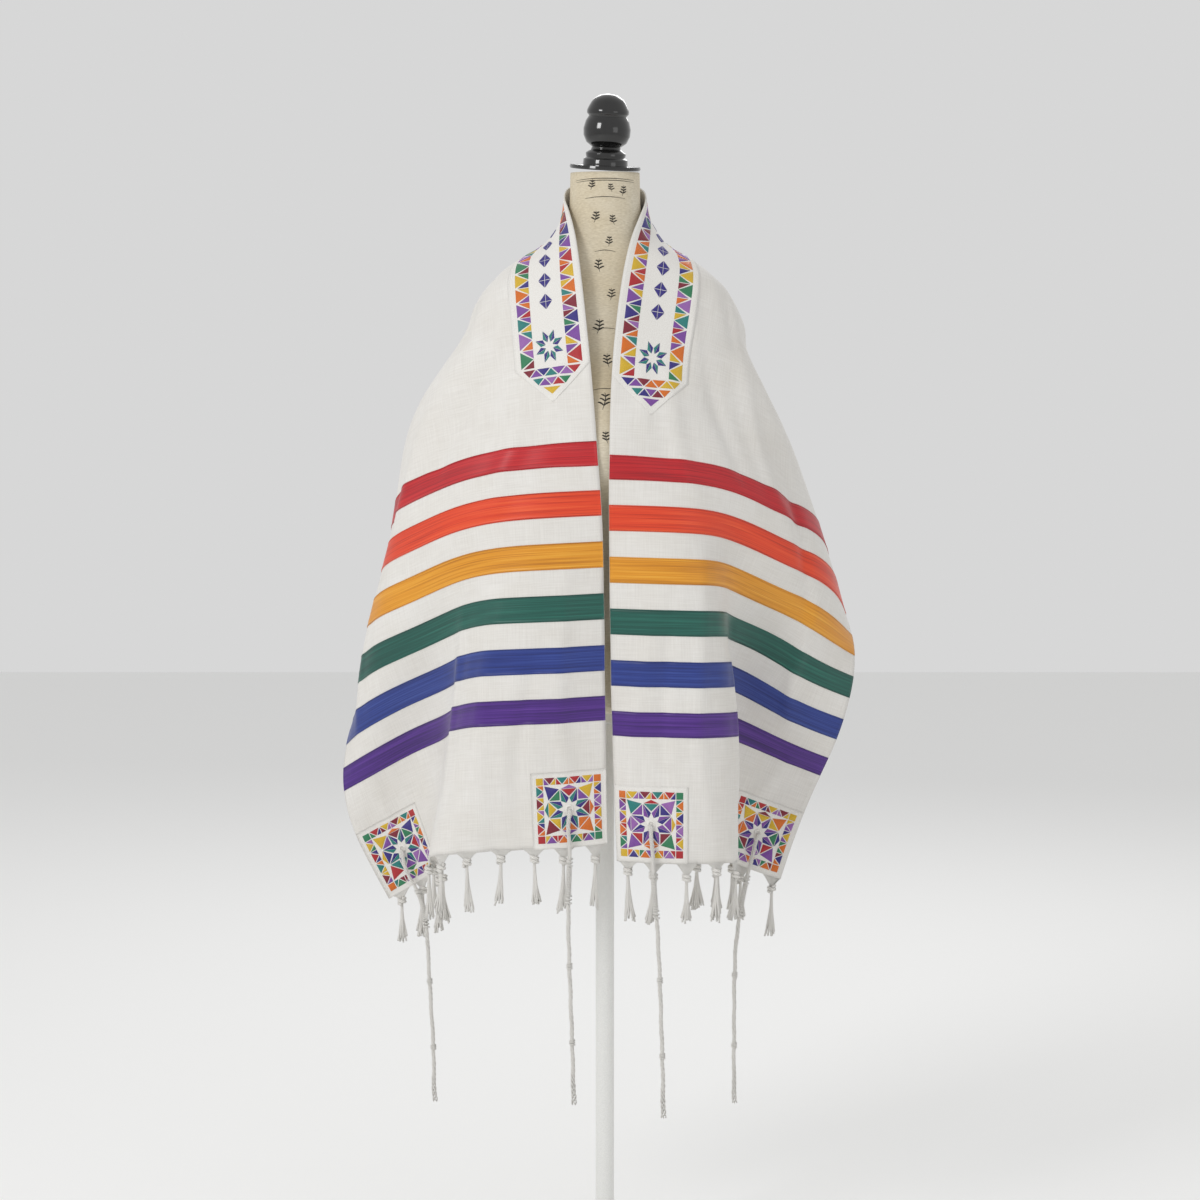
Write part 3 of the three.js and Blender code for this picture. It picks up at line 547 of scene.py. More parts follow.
# Mercerised embroidery thread in satin stitch: smooth and glossy along the threads, which are
# 0.4 mm thick and drawn 1.1 mm thick so that they show.
embroidery, tree, bsdf = start_material("embroidery_thread")
tint = add_node(tree, "ShaderNodeVertexColor", layer_name="thread_colour").outputs["Color"]
uv = add_node(tree, "ShaderNodeUVMap", uv_map="UVMap").outputs["UV"]
lines = add_node(tree, "ShaderNodeTexWave", {"Vector": uv, "Scale": 290.0, "Distortion": 1.2, "Detail": 1.0},
                 wave_type="BANDS", bands_direction="X").outputs["Fac"]
shade = ramp(tree, lines, [(0.1, "#b9b9b9"), (0.8, "#ffffff")])
colour = add_node(tree, "ShaderNodeMix", {0: 1.0, 6: tint, 7: shade}, data_type="RGBA",
                  blend_type="MULTIPLY").outputs[2]
tree.links.new(colour, bsdf.inputs["Base Color"])
tree.links.new(add_node(tree, "ShaderNodeBump",
                        {"Height": lines, "Strength": 0.5, "Distance": 0.0004}).outputs["Normal"],
               bsdf.inputs["Normal"])
bsdf.inputs["Roughness"].default_value = 0.45
bsdf.inputs["Sheen Weight"].default_value = 0.2

THREAD = {
    "red": "#c4222b", "wine": "#8e1b33", "orange": "#f07a1a", "yellow": "#efc42a", "green": "#2e8b5e",
    "teal": "#1f8a85", "indigo": "#34288c", "purple": "#8a4fb0", "lilac": "#a96fc0", "pale": "#f3e9e6",
}
ORDER = ["red", "orange", "purple", "yellow", "indigo", "green", "wine", "lilac", "orange", "teal", "yellow",
         "purple"]


def embroider(name, shapes, low=1.1, high=1.9):
    """Raised satin-stitch shapes: each is its corners as (run, across) in mm, a thread and a stitch angle."""
    points, faces, uv, colours = [], [], [], []
    for corners, thread, angle in shapes:
        corners = np.asarray(corners, float)
        rim = []
        for p, q in zip(corners, np.roll(corners, -1, axis=0)):
            parts = max(1, math.ceil(np.linalg.norm(q - p) / 7))
            rim += [p + (q - p) * k / parts for k in range(parts)]
        rim = np.array(rim)
        centre = rim.mean(0)
        count, base = len(rim), len(points)
        size = np.linalg.norm(rim - centre, axis=1).mean()
        shrink = max(0.5, 1 - 1.3 / size)
        layers = [(rim, low), (centre + (rim - centre) * (1 - 0.25 / size), (low + high) / 2),
                  (centre + (rim - centre) * shrink, high)]
        for ring, lift in layers:
            points += [(x, y, lift) for x, y in ring]
        points += [(*centre, high + 0.1), (*centre, low)]
        top, bottom = base + 3 * count, base + 3 * count + 1
        for k in range(count):
            n = (k + 1) % count
            for layer in (0, 1):
                a, b = base + layer * count + k, base + layer * count + n
                faces.append([a, b, b + count, a + count])
            faces.append([base + 2 * count + k, base + 2 * count + n, top])
            faces.append([base + n, base + k, bottom])
        turn = np.array([[math.cos(angle), -math.sin(angle)], [math.sin(angle), math.cos(angle)]])
        flat = np.array([p[:2] for p in points[base:]]) @ turn.T * MM
        uv += flat.tolist()
        colours += [linear(THREAD[thread])] * (len(points) - base)
    p = np.array(points)
    piece = new_piece(name, lay(p[:, 0], p[:, 1], p[:, 2]), faces, uv, colours)
    recalculated(piece)
    piece.data.materials.append(embroidery)
    return piece


def inset(corners, gap=0.8):
    """A shape pulled in from its outline, to leave the pale line between neighbours."""
    corners = np.asarray(corners, float)
    centre = corners.mean(0)
    size = np.linalg.norm(corners - centre, axis=1).mean()
    return centre + (corners - centre) * (1 - gap * 1.5 / size)


def star(centre, reach, waist, middle, shades, turn=0.0):
    """An eight-pointed star of split kites round a clear middle."""
    shapes = []
    for k in range(8):
        angle = turn + k * math.pi / 4

        def at(radius, a):
            return (centre[0] + radius * math.cos(a), centre[1] + radius * math.sin(a))

        tip, root = at(reach, angle), at(middle, angle)
        left, right = at(waist, angle - math.pi / 8), at(waist, angle + math.pi / 8)
        shapes.append((inset([root, left, tip], 0.35), shades[0], angle))
        shapes.append((inset([root, tip, right], 0.35), shades[1], angle + 0.9))
    return shapes


band_half = ATARA_TIP - PATCH / 2
band_runs = np.concatenate([np.linspace(-ATARA_TIP + 0.5, -band_half, 14),
                            np.linspace(-band_half, band_half, 150)[1:-1],
                            np.linspace(band_half, ATARA_TIP - 0.5, 14)])
inwards = np.maximum(abs(band_runs) - band_half, 0)
share = np.linspace(0, 1, 23)
run = np.repeat(band_runs[:, None], 23, axis=1)
across = inwards[:, None] + (PATCH - 2 * inwards)[:, None] * share[None, :]
band = wall_on_cloth("neck_band_cotton", run, across, *COTTON_LIFTS)
band.data.materials.append(cotton)
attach(band, "root")
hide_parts("neck_band")

BORDER = 9.0
TOOTH = 21.0
band_shapes = []
teeth = 30
for k in range(teeth):
    start, end = (-band_half + 2 * band_half * f / teeth for f in (k, k + 1))
    mid = (start + end) / 2
    for near, far, shift in ((BORDER, BORDER + TOOTH, 0), (PATCH - BORDER, PATCH - BORDER - TOOTH, 5)):
        colours = [ORDER[(2 * k + m + shift) % len(ORDER)] for m in range(3)]
        band_shapes.append((inset([(start, near), (end, near), (mid, far)]), colours[0], 0.3 + k))
        band_shapes.append((inset([(start, near + (far - near) * 0.12), (mid, far), (start, far)]),
                            colours[1], 1.2 + k))
        band_shapes.append((inset([(end, near + (far - near) * 0.12), (end, far), (mid, far)]), colours[2],
                            2.1 + k))
for sign in (-1, 1):
    # lozenge chain down the white middle
    for k in range(9):
        place = sign * (24 + k * 33.0)
        if abs(place) > band_half - 62:
            continue
        middle = PATCH / 2
        tall, wide = 12.5, 9.5
        ends, sides = [(place - tall, middle), (place + tall, middle)], [(place, middle - wide),
                                                                         (place, middle + wide)]
        for corners, angle in (((ends[0], sides[0]), 0.8), ((sides[0], ends[1]), 2.3)):
            band_shapes.append((inset([*corners, (place, middle)], 0.3), "indigo", angle))
        band_shapes.append((inset([ends[0], (place, middle), sides[1]], 0.3), "indigo", 2.3))
        band_shapes.append((inset([(place, middle), ends[1], sides[1]], 0.3), "indigo", 0.8))
    # star near the point
    centre = (sign * (band_half - 24), PATCH / 2)
    band_shapes += star(centre, 21, 11.5, 4.5, ("indigo", "teal"), math.pi / 8)
    # sawtooth rows that narrow with the point
    for row, depth in enumerate((1.5, 15.5, 29.5)):
        teeth_here = (4, 3, 1)[row]
        low_edge = max(BORDER + 1, depth + 9.5)
        high_edge = PATCH - low_edge
        cuts = np.linspace(low_edge, high_edge, teeth_here + 1)
        for k, (a, b) in enumerate(zip(cuts, cuts[1:])):
            near, far = sign * (band_half + depth), sign * (band_half + depth + 12)
            mid = (a + b) / 2
            pick = (5 * row + 2 * k + (4 if sign > 0 else 0)) % len(ORDER)
            band_shapes.append((inset([(near, a), (near, b), (far, mid)]), ORDER[pick], 0.5 + k))
            if k:
                left_mid = (cuts[k - 1] + a) / 2
                band_shapes.append((inset([(far, left_mid), (near, a), (far, mid)]),
                                    ORDER[(pick + 5) % len(ORDER)], 1.7 + k))
band_work = embroider("neck_band_embroidery", band_shapes)
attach(band_work, "root")


def band_outline(edge):
    """The band's edge drawn in by edge, in mm."""
    tip = ATARA_TIP - edge * 1.4
    return [(-band_half, edge), (band_half, edge), (tip, PATCH / 2), (band_half, PATCH - edge),
            (-band_half, PATCH - edge), (-tip, PATCH / 2), (-band_half, edge)]


band_stitches = stitches("neck_band_stitches", [band_outline(3.2), band_outline(6.6)], white_thread,
                         **COTTON_STITCH)
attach(band_stitches, "root")

# ---------------------------------------------------------------- corner patches
# Squares of white cotton at the four corners, embroidered with a star of kites in a sawtooth frame.
# Each has a bound eyelet in its middle, through which the corner tassel is knotted.
FRAME_TEETH = 4


def patch_shapes(mid_run, mid_across, shift):
    half = PATCH / 2 - 7.0
    tooth = 11.0
    shapes = star((mid_run, mid_across), 30, 15, 8.5, ("indigo", "purple" if shift % 2 else "teal"),
                  math.pi / 8)
    inner = half - tooth
    for k in range(8):
        angle = k * math.pi / 4
        tips = []
        for d in (-math.pi / 8, math.pi / 8):
            tips.append((mid_run + 30.5 * math.cos(angle + d), mid_across + 30.5 * math.sin(angle + d)))
        root = (mid_run + 16.5 * math.cos(angle), mid_across + 16.5 * math.sin(angle))
        shapes.append((inset([tips[0], root, tips[1]]), ORDER[(k * 5 + shift) % len(ORDER)], angle))
        if k % 2:
            corner = (mid_run + inner * math.copysign(1, math.cos(angle)),
                      mid_across + inner * math.copysign(1, math.sin(angle)))
            shapes.append((inset([tips[0], tips[1], corner]), ORDER[(k + 3 + shift) % len(ORDER)],
                           angle + 1.3))
        else:
            side_middle = (mid_run + inner * round(math.cos(angle)),
                           mid_across + inner * round(math.sin(angle)))
            shapes.append((inset([*tips, side_middle], 0.5), ORDER[(k + 7 + shift) % len(ORDER)],
                           angle + 0.6))
    for quarter in range(4):
        c, s = round(math.cos(quarter * math.pi / 2)), round(math.sin(quarter * math.pi / 2))

        def put(x, y):
            return (mid_run + c * x - s * y, mid_across + s * x + c * y)

        for k in range(FRAME_TEETH):
            a, b = (-inner + 2 * inner * f / FRAME_TEETH for f in (k, k + 1))
            m = (a + b) / 2
            first = ORDER[(3 * k + quarter * 2 + shift) % len(ORDER)]
            second = ORDER[(3 * k + quarter * 2 + shift + 4) % len(ORDER)]
            shapes.append((inset([put(a, half), put(b, half), put(m, inner)]), first, k + quarter))
            shapes.append((inset([put(m, inner), put(b, half), put(b, inner)], 0.6), second,
                           k + 1.4 + quarter))
            shapes.append((inset([put(m, inner), put(a, inner), put(a, half)], 0.6),
                           ORDER[(k + quarter + shift + 8) % len(ORDER)],
                           k + 0.7))
        shapes.append((inset([put(inner, inner), put(half, inner), put(half, half), put(inner, half)], 0.5),
                       ["yellow", "red", "green", "orange"][(quarter + shift) % 4], 0.8))
    return shapes


for side, sign in (("left", -1), ("right", 1)):
    for place, mid_across in (("inner", PATCH / 2), ("outer", WIDTH - PATCH / 2)):
        name = f"corner_patch_{side}_{place}"
        mid_run = sign * (HALF_LENGTH - PATCH / 2)
        steps = np.linspace(-PATCH / 2 + 0.4, PATCH / 2 - 0.4, 25)
        run, across = np.meshgrid(mid_run + sign * steps, mid_across + steps, indexing="ij")
        square = wall_on_cloth(name + "_cotton", run, across, *COTTON_LIFTS)
        square.data.materials.append(cotton)
        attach(square, "root")
        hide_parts(name)
        shift = (1 if sign > 0 else 0) + (6 if place == "outer" else 0)
        work = embroider(name + "_embroidery", patch_shapes(mid_run, mid_across, shift))
        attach(work, "root")
        rows = []
        for inside in (2.0, 5.2):
            h = PATCH / 2 - inside
            rows.append([(mid_run + a * h, mid_across + b * h) for a,
                         b in ((-1, -1), (1, -1), (1, 1), (-1, 1), (-1, -1))])
        seam = stitches(name + "_stitches", rows, white_thread, **COTTON_STITCH)
        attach(seam, "root")
        # eyelet: a ring of close stitches
        ring_points, ring_faces = [], []
        around, section = 40, 8
        for k in range(around):
            angle = 2 * math.pi * k / around
            for m in range(section):
                turn = 2 * math.pi * m / section
                radius = 4.3 + (1.5 + 0.18 * (k % 2)) * math.cos(turn)
                ring_points.append((mid_run + radius * math.cos(angle), mid_across + radius * math.sin(angle),
                                    1.6 + 1.1 * math.sin(turn)))
                a, b = k * section + m, k * section + (m + 1) % section
                c, d = ((k + 1) % around) * section + (m + 1) % section, ((k + 1) % around) * section + m
                ring_faces.append([a, b, c, d])
        p = np.array(ring_points)
        eyelet = new_piece(name + "_eyelet", lay(p[:, 0], p[:, 1], p[:, 2]), ring_faces, p[:, :2] * MM)
        recalculated(eyelet)
        eyelet.data.materials.append(white_thread)
        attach(eyelet, "root")

# ---------------------------------------------------------------- fringe
# The warp ends are left long past the hem and knotted in bunches, which fray out below the knot.
# Each bunch is a few two-ply strands of undyed wool.
wool, tree, bsdf = start_material("wool_yarn")
spin_uv = add_node(tree, "ShaderNodeUVMap", uv_map="UVMap").outputs["UV"]
ply = add_node(tree, "ShaderNodeTexWave", {"Vector": spin_uv, "Scale": 1.0, "Distortion": 0.5},
               wave_type="BANDS", bands_direction="DIAGONAL").outputs["Fac"]
# the yarn is drawn darker in the grooves between its plies: painted shade
tree.links.new(ramp(tree, ply, [(0.2, "#cfccc5"), (0.8, "#f3f1ed")]), bsdf.inputs["Base Color"])
tree.links.new(add_node(tree, "ShaderNodeBump",
                        {"Height": ply, "Strength": 0.8, "Distance": 0.0006}).outputs["Normal"],
               bsdf.inputs["Normal"])
bsdf.inputs["Roughness"].default_value = 0.9
bsdf.inputs["Sheen Weight"].default_value = 0.3

wobble = np.random.default_rng(7)


def strand_mesh(routes, radii, sides=6):
    """Tubes along many routes at once, closed at both ends. Routes and radii are in metres."""
    points, faces, uv = [], [], []
    for route, radius in zip(routes, radii):
        route = np.asarray(route, float)
        count = len(route)
        radius = np.broadcast_to(radius, count)
        way = np.gradient(route, axis=0)
        way /= np.linalg.norm(way, axis=1, keepdims=True)
        guide = np.array([0.31, 0.93, 0.17])
        base = len(points)
        length = np.concatenate([[0], np.cumsum(np.linalg.norm(np.diff(route, axis=0), axis=1))])
        for k in range(count):
            a = np.cross(way[k], guide)
            a /= np.linalg.norm(a)
            b = np.cross(way[k], a)
            for m in range(sides):
                turn = 2 * math.pi * m / sides
                points.append(route[k] + radius[k] * (a * math.cos(turn) + b * math.sin(turn)))
                uv.append((length[k] * 260, m / sides * 3))
        for k in range(count - 1):
            for m in range(sides):
                n = (m + 1) % sides
                faces.append([base + k * sides + m, base + k * sides + n, base + (k + 1) * sides + n,
                              base + (k + 1) * sides + m])
        points += [route[0], route[-1]]
        uv += [(0, 0), (length[-1] * 260, 0)]
        first, last = len(points) - 2, len(points) - 1
        for m in range(sides):
            n = (m + 1) % sides
            faces.append([base + n, base + m, first])
            faces.append([base + (count - 1) * sides + m, base + (count - 1) * sides + n, last])
    return points, faces, uv


TASSELS = 12
for side, sign in (("left", -1), ("right", 1)):
    routes, radii = [], []
    for k in range(TASSELS):
        across = 16 + (WIDTH - 32) * k / (TASSELS - 1) + wobble.uniform(-5, 5)
        knot_drop = wobble.uniform(11, 19)
        long = wobble.uniform(50, 66)
        spread_out = wobble.uniform(5.0, 7.5)
        lean = wobble.uniform(-4, 4)
        hem = lay(sign * HALF_LENGTH, across, 0.0)
        knot = hem + np.array([lean * 0.2, wobble.uniform(-1, 1), -knot_drop]) * MM
        strands = 11
        for m in range(strands):
            start = lay(sign * (HALF_LENGTH - 1.5), np.clip(across + (m - 5) * 2.9, 1, WIDTH - 1), 0.0)
            angle = 2 * math.pi * m / strands + k
            tip = knot + np.array([lean + spread_out * math.cos(angle), spread_out * 0.7 * math.sin(angle),
                                   -long - wobble.uniform(-5, 5)]) * MM
            route = [start, start * 0.6 + knot * 0.4 + np.array([0, 0, 1.5 * MM]), knot]
            for f in (0.12, 0.3, 0.5, 0.7, 0.85, 1.0):
                bend = np.array([math.sin(f * 5 + m * 1.7 + k), math.cos(f * 6 + m), 0]) * 0.9 * MM * f
                point = knot + (tip - knot) * f + bend
                point[:2] += (knot - tip)[:2] * 0.25 * math.sin(f * math.pi)
                route.append(point)
            route = spline(np.arange(len(route), dtype=float), np.array(route)[:, None, :],
                           np.linspace(0, len(route) - 1, 20))[:, 0, :]
            thin = np.linspace(2.1, 1.3, 20) * MM
            thin[:5] = 1.1 * MM
            routes.append(route)
            radii.append(thin)
        # the knot: two turns round the bunch
        turns = np.linspace(0, 4 * math.pi, 26)
        wrap = knot + np.stack([4.0 * np.cos(turns + k), 3.6 * np.sin(turns + k),
                                4.6 - 9.2 * turns / turns[-1]], -1) * MM
        routes.append(wrap)
        radii.append(np.full(26, 2.5 * MM))
    points, faces, uv = strand_mesh(routes, radii)
    fringe = new_piece(f"fringe_{side}_bunches", points, faces, uv)
    recalculated(fringe)
    fringe.data.materials.append(wool)
    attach(fringe, "root")
    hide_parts(f"fringe_{side}")

# stitched hem line along both long edges of the cloth
HEM = 7.0
HEM_END = HALF_LENGTH - 4
hem_rows = [[(-HEM_END, HEM), (-ATARA_TIP, HEM)], [(ATARA_TIP, HEM), (HEM_END, HEM)],
            [(-HEM_END, WIDTH - HEM), (HEM_END, WIDTH - HEM)]]
hem_stitches = stitches("shawl_hem_stitches", hem_rows, white_thread, low=0.5, high=0.95)
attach(hem_stitches, "root")

# ---------------------------------------------------------------- corner tassels
# Tzitzit: white wool threads drawn through the eyelet, wound and knotted, then hanging free.
# The two loose legs twist lightly round each other down to frayed ends.
CORD_STANDOFF = 6.1
CORD_STEPS = 130
CORD_ROUTES = {
    "left_outer": (-1, WIDTH - PATCH / 2, [(8, -6, 30), (26, -14, 62), (34, -17, 100), (37, -16, 150),
                                           (40, -15, 210),
                                           (43, -14, 270), (44, -14, 330), (45, -14, 345)]),
    "left_inner": (-1, PATCH / 2, [(-2, -2, 30), (0, -6, 55), (-1, -9, 80), (-2, -10, 130), (-1, -11, 190),
                                   (1, -11, 250), (3, -11, 310), (5, -11, 388)]),
    "right_inner": (1, PATCH / 2, [(2, -2, 30), (3, -6, 55), (5, -9, 90), (9, -10, 140), (12, -11, 200),
                                   (14, -11, 260), (16, -11, 320), (17, -11, 385)]),
    "right_outer": (1, WIDTH - PATCH / 2, [(-9, -14, 30), (-17, -24, 60), (-25, -26, 100), (-31, -25, 150),
                                           (-33, -24, 210), (-33, -23, 270), (-33, -23, 330),
                                           (-32, -23, 370)]),
}
for name, (sign, mid_across, hang) in CORD_ROUTES.items():
    eyelet = lay(sign * (HALF_LENGTH - PATCH / 2), mid_across, CORD_STANDOFF) / MM
    route = np.array([eyelet] + [eyelet + np.array([x, y, -down]) for x, y, down in hang]) * MM
    steps = np.concatenate([[0], np.cumsum(np.linalg.norm(np.diff(route, axis=0), axis=1))])
    path = spline(steps, route[:, None, :], np.linspace(0, steps[-1], CORD_STEPS))[:, 0, :]
    length = float(np.linalg.norm(np.diff(path, axis=0), axis=1).sum())
    strands, radii = [], []
    for m in range(4):
        turn = np.linspace(0, length / 0.028 * 2 * math.pi, CORD_STEPS) + m * math.pi / 2
        run_down = np.linspace(0, 1, CORD_STEPS)
        away = (1.5 + 0.5 * np.sin(run_down * 37 + 2 * m) + 1.6 * np.clip(run_down - 0.88, 0, 1) / 0.12) * MM
        strands.append(path + np.stack([away * np.cos(turn), away * np.sin(turn), np.zeros(CORD_STEPS)], -1))
        radii.append(np.concatenate([np.full(CORD_STEPS - 20, 1.4), np.linspace(1.4, 0.9, 20)]) * MM)
    points, faces, uv = strand_mesh(strands, radii)
    legs = new_piece(f"corner_tassel_{name}_legs", points, faces, uv)
    recalculated(legs)
    legs.data.materials.append(wool)
    # wound stretch and knots on the threads
    wraps, wrap_radii = [], []
    for start, end, wide, turns in ((0.165, 0.19, 3.4, 2), (0.19, 0.29, 2.7, 12), (0.29, 0.315, 3.6, 2),
                                    (0.52, 0.535, 3.0, 2), (0.78, 0.795, 3.0, 2)):
        f = np.linspace(start, end, turns * 12)
        centre = np.stack([np.interp(f * (CORD_STEPS - 1), np.arange(CORD_STEPS),
                                     path[:, c]) for c in range(3)], -1)
        angle = np.linspace(0, turns * 2 * math.pi, len(f))
        wraps.append(centre + np.stack([wide * np.cos(angle), wide * np.sin(angle), np.zeros(len(f))],
                                       -1) * MM)
        wrap_radii.append(np.full(len(f), 1.3 * MM))
    points, faces, uv = strand_mesh(wraps, wrap_radii)
    winding = new_piece(f"corner_tassel_{name}_winding", points, faces, uv)
    recalculated(winding)
    winding.data.materials.append(wool)
    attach(legs, "root")
    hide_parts("corner_tassel_" + name)
    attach(winding, "root")

# ---------------------------------------------------------------- dress form
# A padded limbless torso covered in cream linen, printed with fine black rules and leaf sprigs.
# The print is plain ornament, and the form ends flat under the hips.
linen, tree, bsdf = start_material("cream_linen")
place = add_node(tree, "ShaderNodeTexCoord").outputs["Object"]
fine_yarn = add_node(tree, "ShaderNodeTexNoise", {"Vector": add_node(tree, "ShaderNodeMapping", {
    "Vector": place, "Scale": (220, 220, 900)}).outputs["Vector"], "Scale": 1.0,
                                                  "Detail": 2.0}).outputs["Fac"]
age = add_node(tree, "ShaderNodeTexNoise", {"Vector": place, "Scale": 7.0, "Detail": 4.0}).outputs["Fac"]
tone = ramp(tree, fine_yarn, [(0.3, "#cfc6b3"), (0.7, "#e3dccb")])
stain = ramp(tree, age, [(0.35, "#ece4d4"), (0.65, "#ffffff")])
colour = add_node(tree, "ShaderNodeMix", {0: 1.0, 6: tone, 7: stain}, data_type="RGBA",
                  blend_type="MULTIPLY").outputs[2]
tree.links.new(colour, bsdf.inputs["Base Color"])
tree.links.new(add_node(tree, "ShaderNodeBump",
                        {"Height": fine_yarn, "Strength": 0.4, "Distance": 0.0006}).outputs["Normal"],
               bsdf.inputs["Normal"])
bsdf.inputs["Roughness"].default_value = 0.9

ring_z = np.concatenate([[FORM[0, 0] - 14, FORM[0, 0] - 13, FORM[0, 0] - 9],
                         np.linspace(FORM[0, 0], FORM[-1, 0], 110)])


def form_ring(z):
    rows = spline(FORM[:, 0], FORM[:, None, 1:], np.clip(np.atleast_1d(z), FORM[0, 0], FORM[-1, 0]))[:, 0, :]
    tuck = np.clip((FORM[0, 0] - np.atleast_1d(z)) / 14, 0, 1)
    rows[:, :2] -= (rows[:, :2] * 0.28) * tuck[:, None] ** 2.5
    return rows


SIDES = 112
rows = form_ring(ring_z)
angles = np.linspace(0, 2 * math.pi, SIDES, endpoint=False)
points = [(a * math.cos(t) * MM, (y + b * math.sin(t)) * MM, z * MM) for z,
          (a, b, y) in zip(ring_z, rows) for t in angles]
faces = [[r * SIDES + k, r * SIDES + (k + 1) % SIDES, (r + 1) * SIDES + (k + 1) % SIDES, (r + 1) * SIDES + k]
         for r in range(len(ring_z) - 1) for k in range(SIDES)]
faces += [list(range(SIDES))[::-1], [(len(ring_z) - 1) * SIDES + k for k in range(SIDES)]]
torso = new_piece("dress_form_linen", points, faces)
torso.data.materials.append(linen)
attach(torso, "root")
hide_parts("dress_form")

ink, tree, bsdf = start_material("black_printing_ink")
wear = add_node(tree, "ShaderNodeTexNoise", {"Vector": add_node(tree, "ShaderNodeTexCoord").outputs["Object"],
                                             "Scale": 420.0}).outputs["Fac"]
tree.links.new(ramp(tree, wear, [(0.35, "#1a1816"), (0.75, "#4a453d")]), bsdf.inputs["Base Color"])
bsdf.inputs["Roughness"].default_value = 0.85


def on_form(angle, z):
    a, b, y = form_ring(z)[0]
    return np.array([a * math.cos(angle), y + b * math.sin(angle), z])


def printed_line(trail, width):
    """A flat printed stroke on the form along (angle, z) places, wider in the middle."""
    points, faces = [], []
    centre = np.array([on_form(a, z) for a, z in trail])
    way = np.gradient(centre, axis=0)
    way /= np.maximum(np.linalg.norm(way, axis=1, keepdims=True), 1e-6)
    for k, (a, z) in enumerate(trail):
        out = on_form(a, z) - np.array([0, form_ring(z)[0][2], z])
        out /= np.linalg.norm(out)
        aside = np.cross(way[k], out) * width * (0.35 + 0.65 * math.sin(math.pi * k / (len(trail) - 1))) / 2
        for s in (-1, 1):
            points.append((centre[k] + s * aside + out * 0.25) * MM)
    for k in range(len(trail) - 1):
        faces.append([2 * k, 2 * k + 1, 2 * k + 3, 2 * k + 2])
    return points, faces


strokes = []
FRONT = -math.pi / 2
for z, reach in ((1486, 0.95), (1483.5, 0.95), (1462, 0.6), (1392, 0.16), (1290, 0.10), (1212, 0.1)):
    strokes.append(([(FRONT + reach * f, z - 2.5 * f * f) for f in np.linspace(-1, 1, 24)], 0.9))


def sprig(angle, z, size, hand):
    """A printed leaf sprig: a bowed stem with three pairs of leaves, as trails and widths."""
    radius_of_form = form_ring(z)[0][0]

    def at(x, rise):
        return (angle + hand * x / radius_of_form, z + rise)

    def stem_at(f):
        return 0.35 * size * math.sin(f * 2.2), size * (2 * f - 1)

    marks = [([at(*stem_at(f)) for f in np.linspace(0, 1, 14)], size * 0.12)]
    for f in (0.25, 0.5, 0.75):
        x, rise = stem_at(f)
        for way in (-1, 1):
            reach = size * (0.85 - 0.45 * f)
            leaf = [at(x + way * reach * g, rise + reach * (0.75 * g - 0.25 * g * g)) for g in np.linspace(0,
                                                                                                           1,
                                                                                                           9)]
            marks.append((leaf, size * 0.26))
    return marks


SPRIGS = [(FRONT - 0.42, 1478, 7, 1), (FRONT + 0.2, 1474, 6, -1), (FRONT + 0.5, 1470, 7, 1),
          (FRONT - 0.3, 1436, 8, 1),
           (FRONT + 0.25, 1432, 7, -1), (FRONT + 0.06, 1404, 7, 1), (FRONT - 0.05, 1372, 9, -1),
          (FRONT + 0.04, 1334, 8, 1),
           (FRONT - 0.06, 1292, 10, 1), (FRONT + 0.03, 1248, 9, -1), (FRONT - 0.02, 1196, 11, 1),
          (FRONT + 0.02, 1150, 8, -1),
           (-FRONT - 0.5, 930, 20, 1), (-FRONT + 0.45, 900, 18, -1), (-FRONT + 0.02, 868, 22, 1),
          (-FRONT - 0.9, 850, 18, -1),
           (-FRONT + 1.0, 940, 18, 1), (FRONT - 1.2, 900, 18, 1), (FRONT + 1.2, 880, 18, -1)]
strokes += [mark for place in SPRIGS for mark in sprig(*place)]
points, faces = [], []
for trail, width in strokes:
    p, f = printed_line(trail, width)
    faces += [[n + len(points) for n in face] for face in f]
    points += p
print_work = new_piece("dress_form_print", points, faces)
print_work.data.materials.append(ink)
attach(print_work, "root")

# ---------------------------------------------------------------- neck cap
# Turned hardwood finial on a disc that closes the neck, lacquered gloss black.
# It sits a little askew on the form.
lacquer, tree, bsdf = start_material("black_lacquered_wood")
grain = add_node(tree, "ShaderNodeTexNoise", {"Vector": add_node(tree, "ShaderNodeMapping", {
    "Vector": add_node(tree, "ShaderNodeTexCoord").outputs["Object"],
    "Scale": (160, 160, 14)}).outputs["Vector"],
    "Scale": 1.0, "Detail": 3.0}).outputs["Fac"]
tree.links.new(ramp(tree, grain, [(0.3, "#060606"), (0.8, "#141312")]), bsdf.inputs["Base Color"])
tree.links.new(add_node(tree, "ShaderNodeBump",
                        {"Height": grain, "Strength": 0.06, "Distance": 0.0005}).outputs["Normal"],
               bsdf.inputs["Normal"])
bsdf.inputs["Roughness"].default_value = 0.13
bsdf.inputs["Coat Weight"].default_value = 0.6
bsdf.inputs["Coat Roughness"].default_value = 0.06


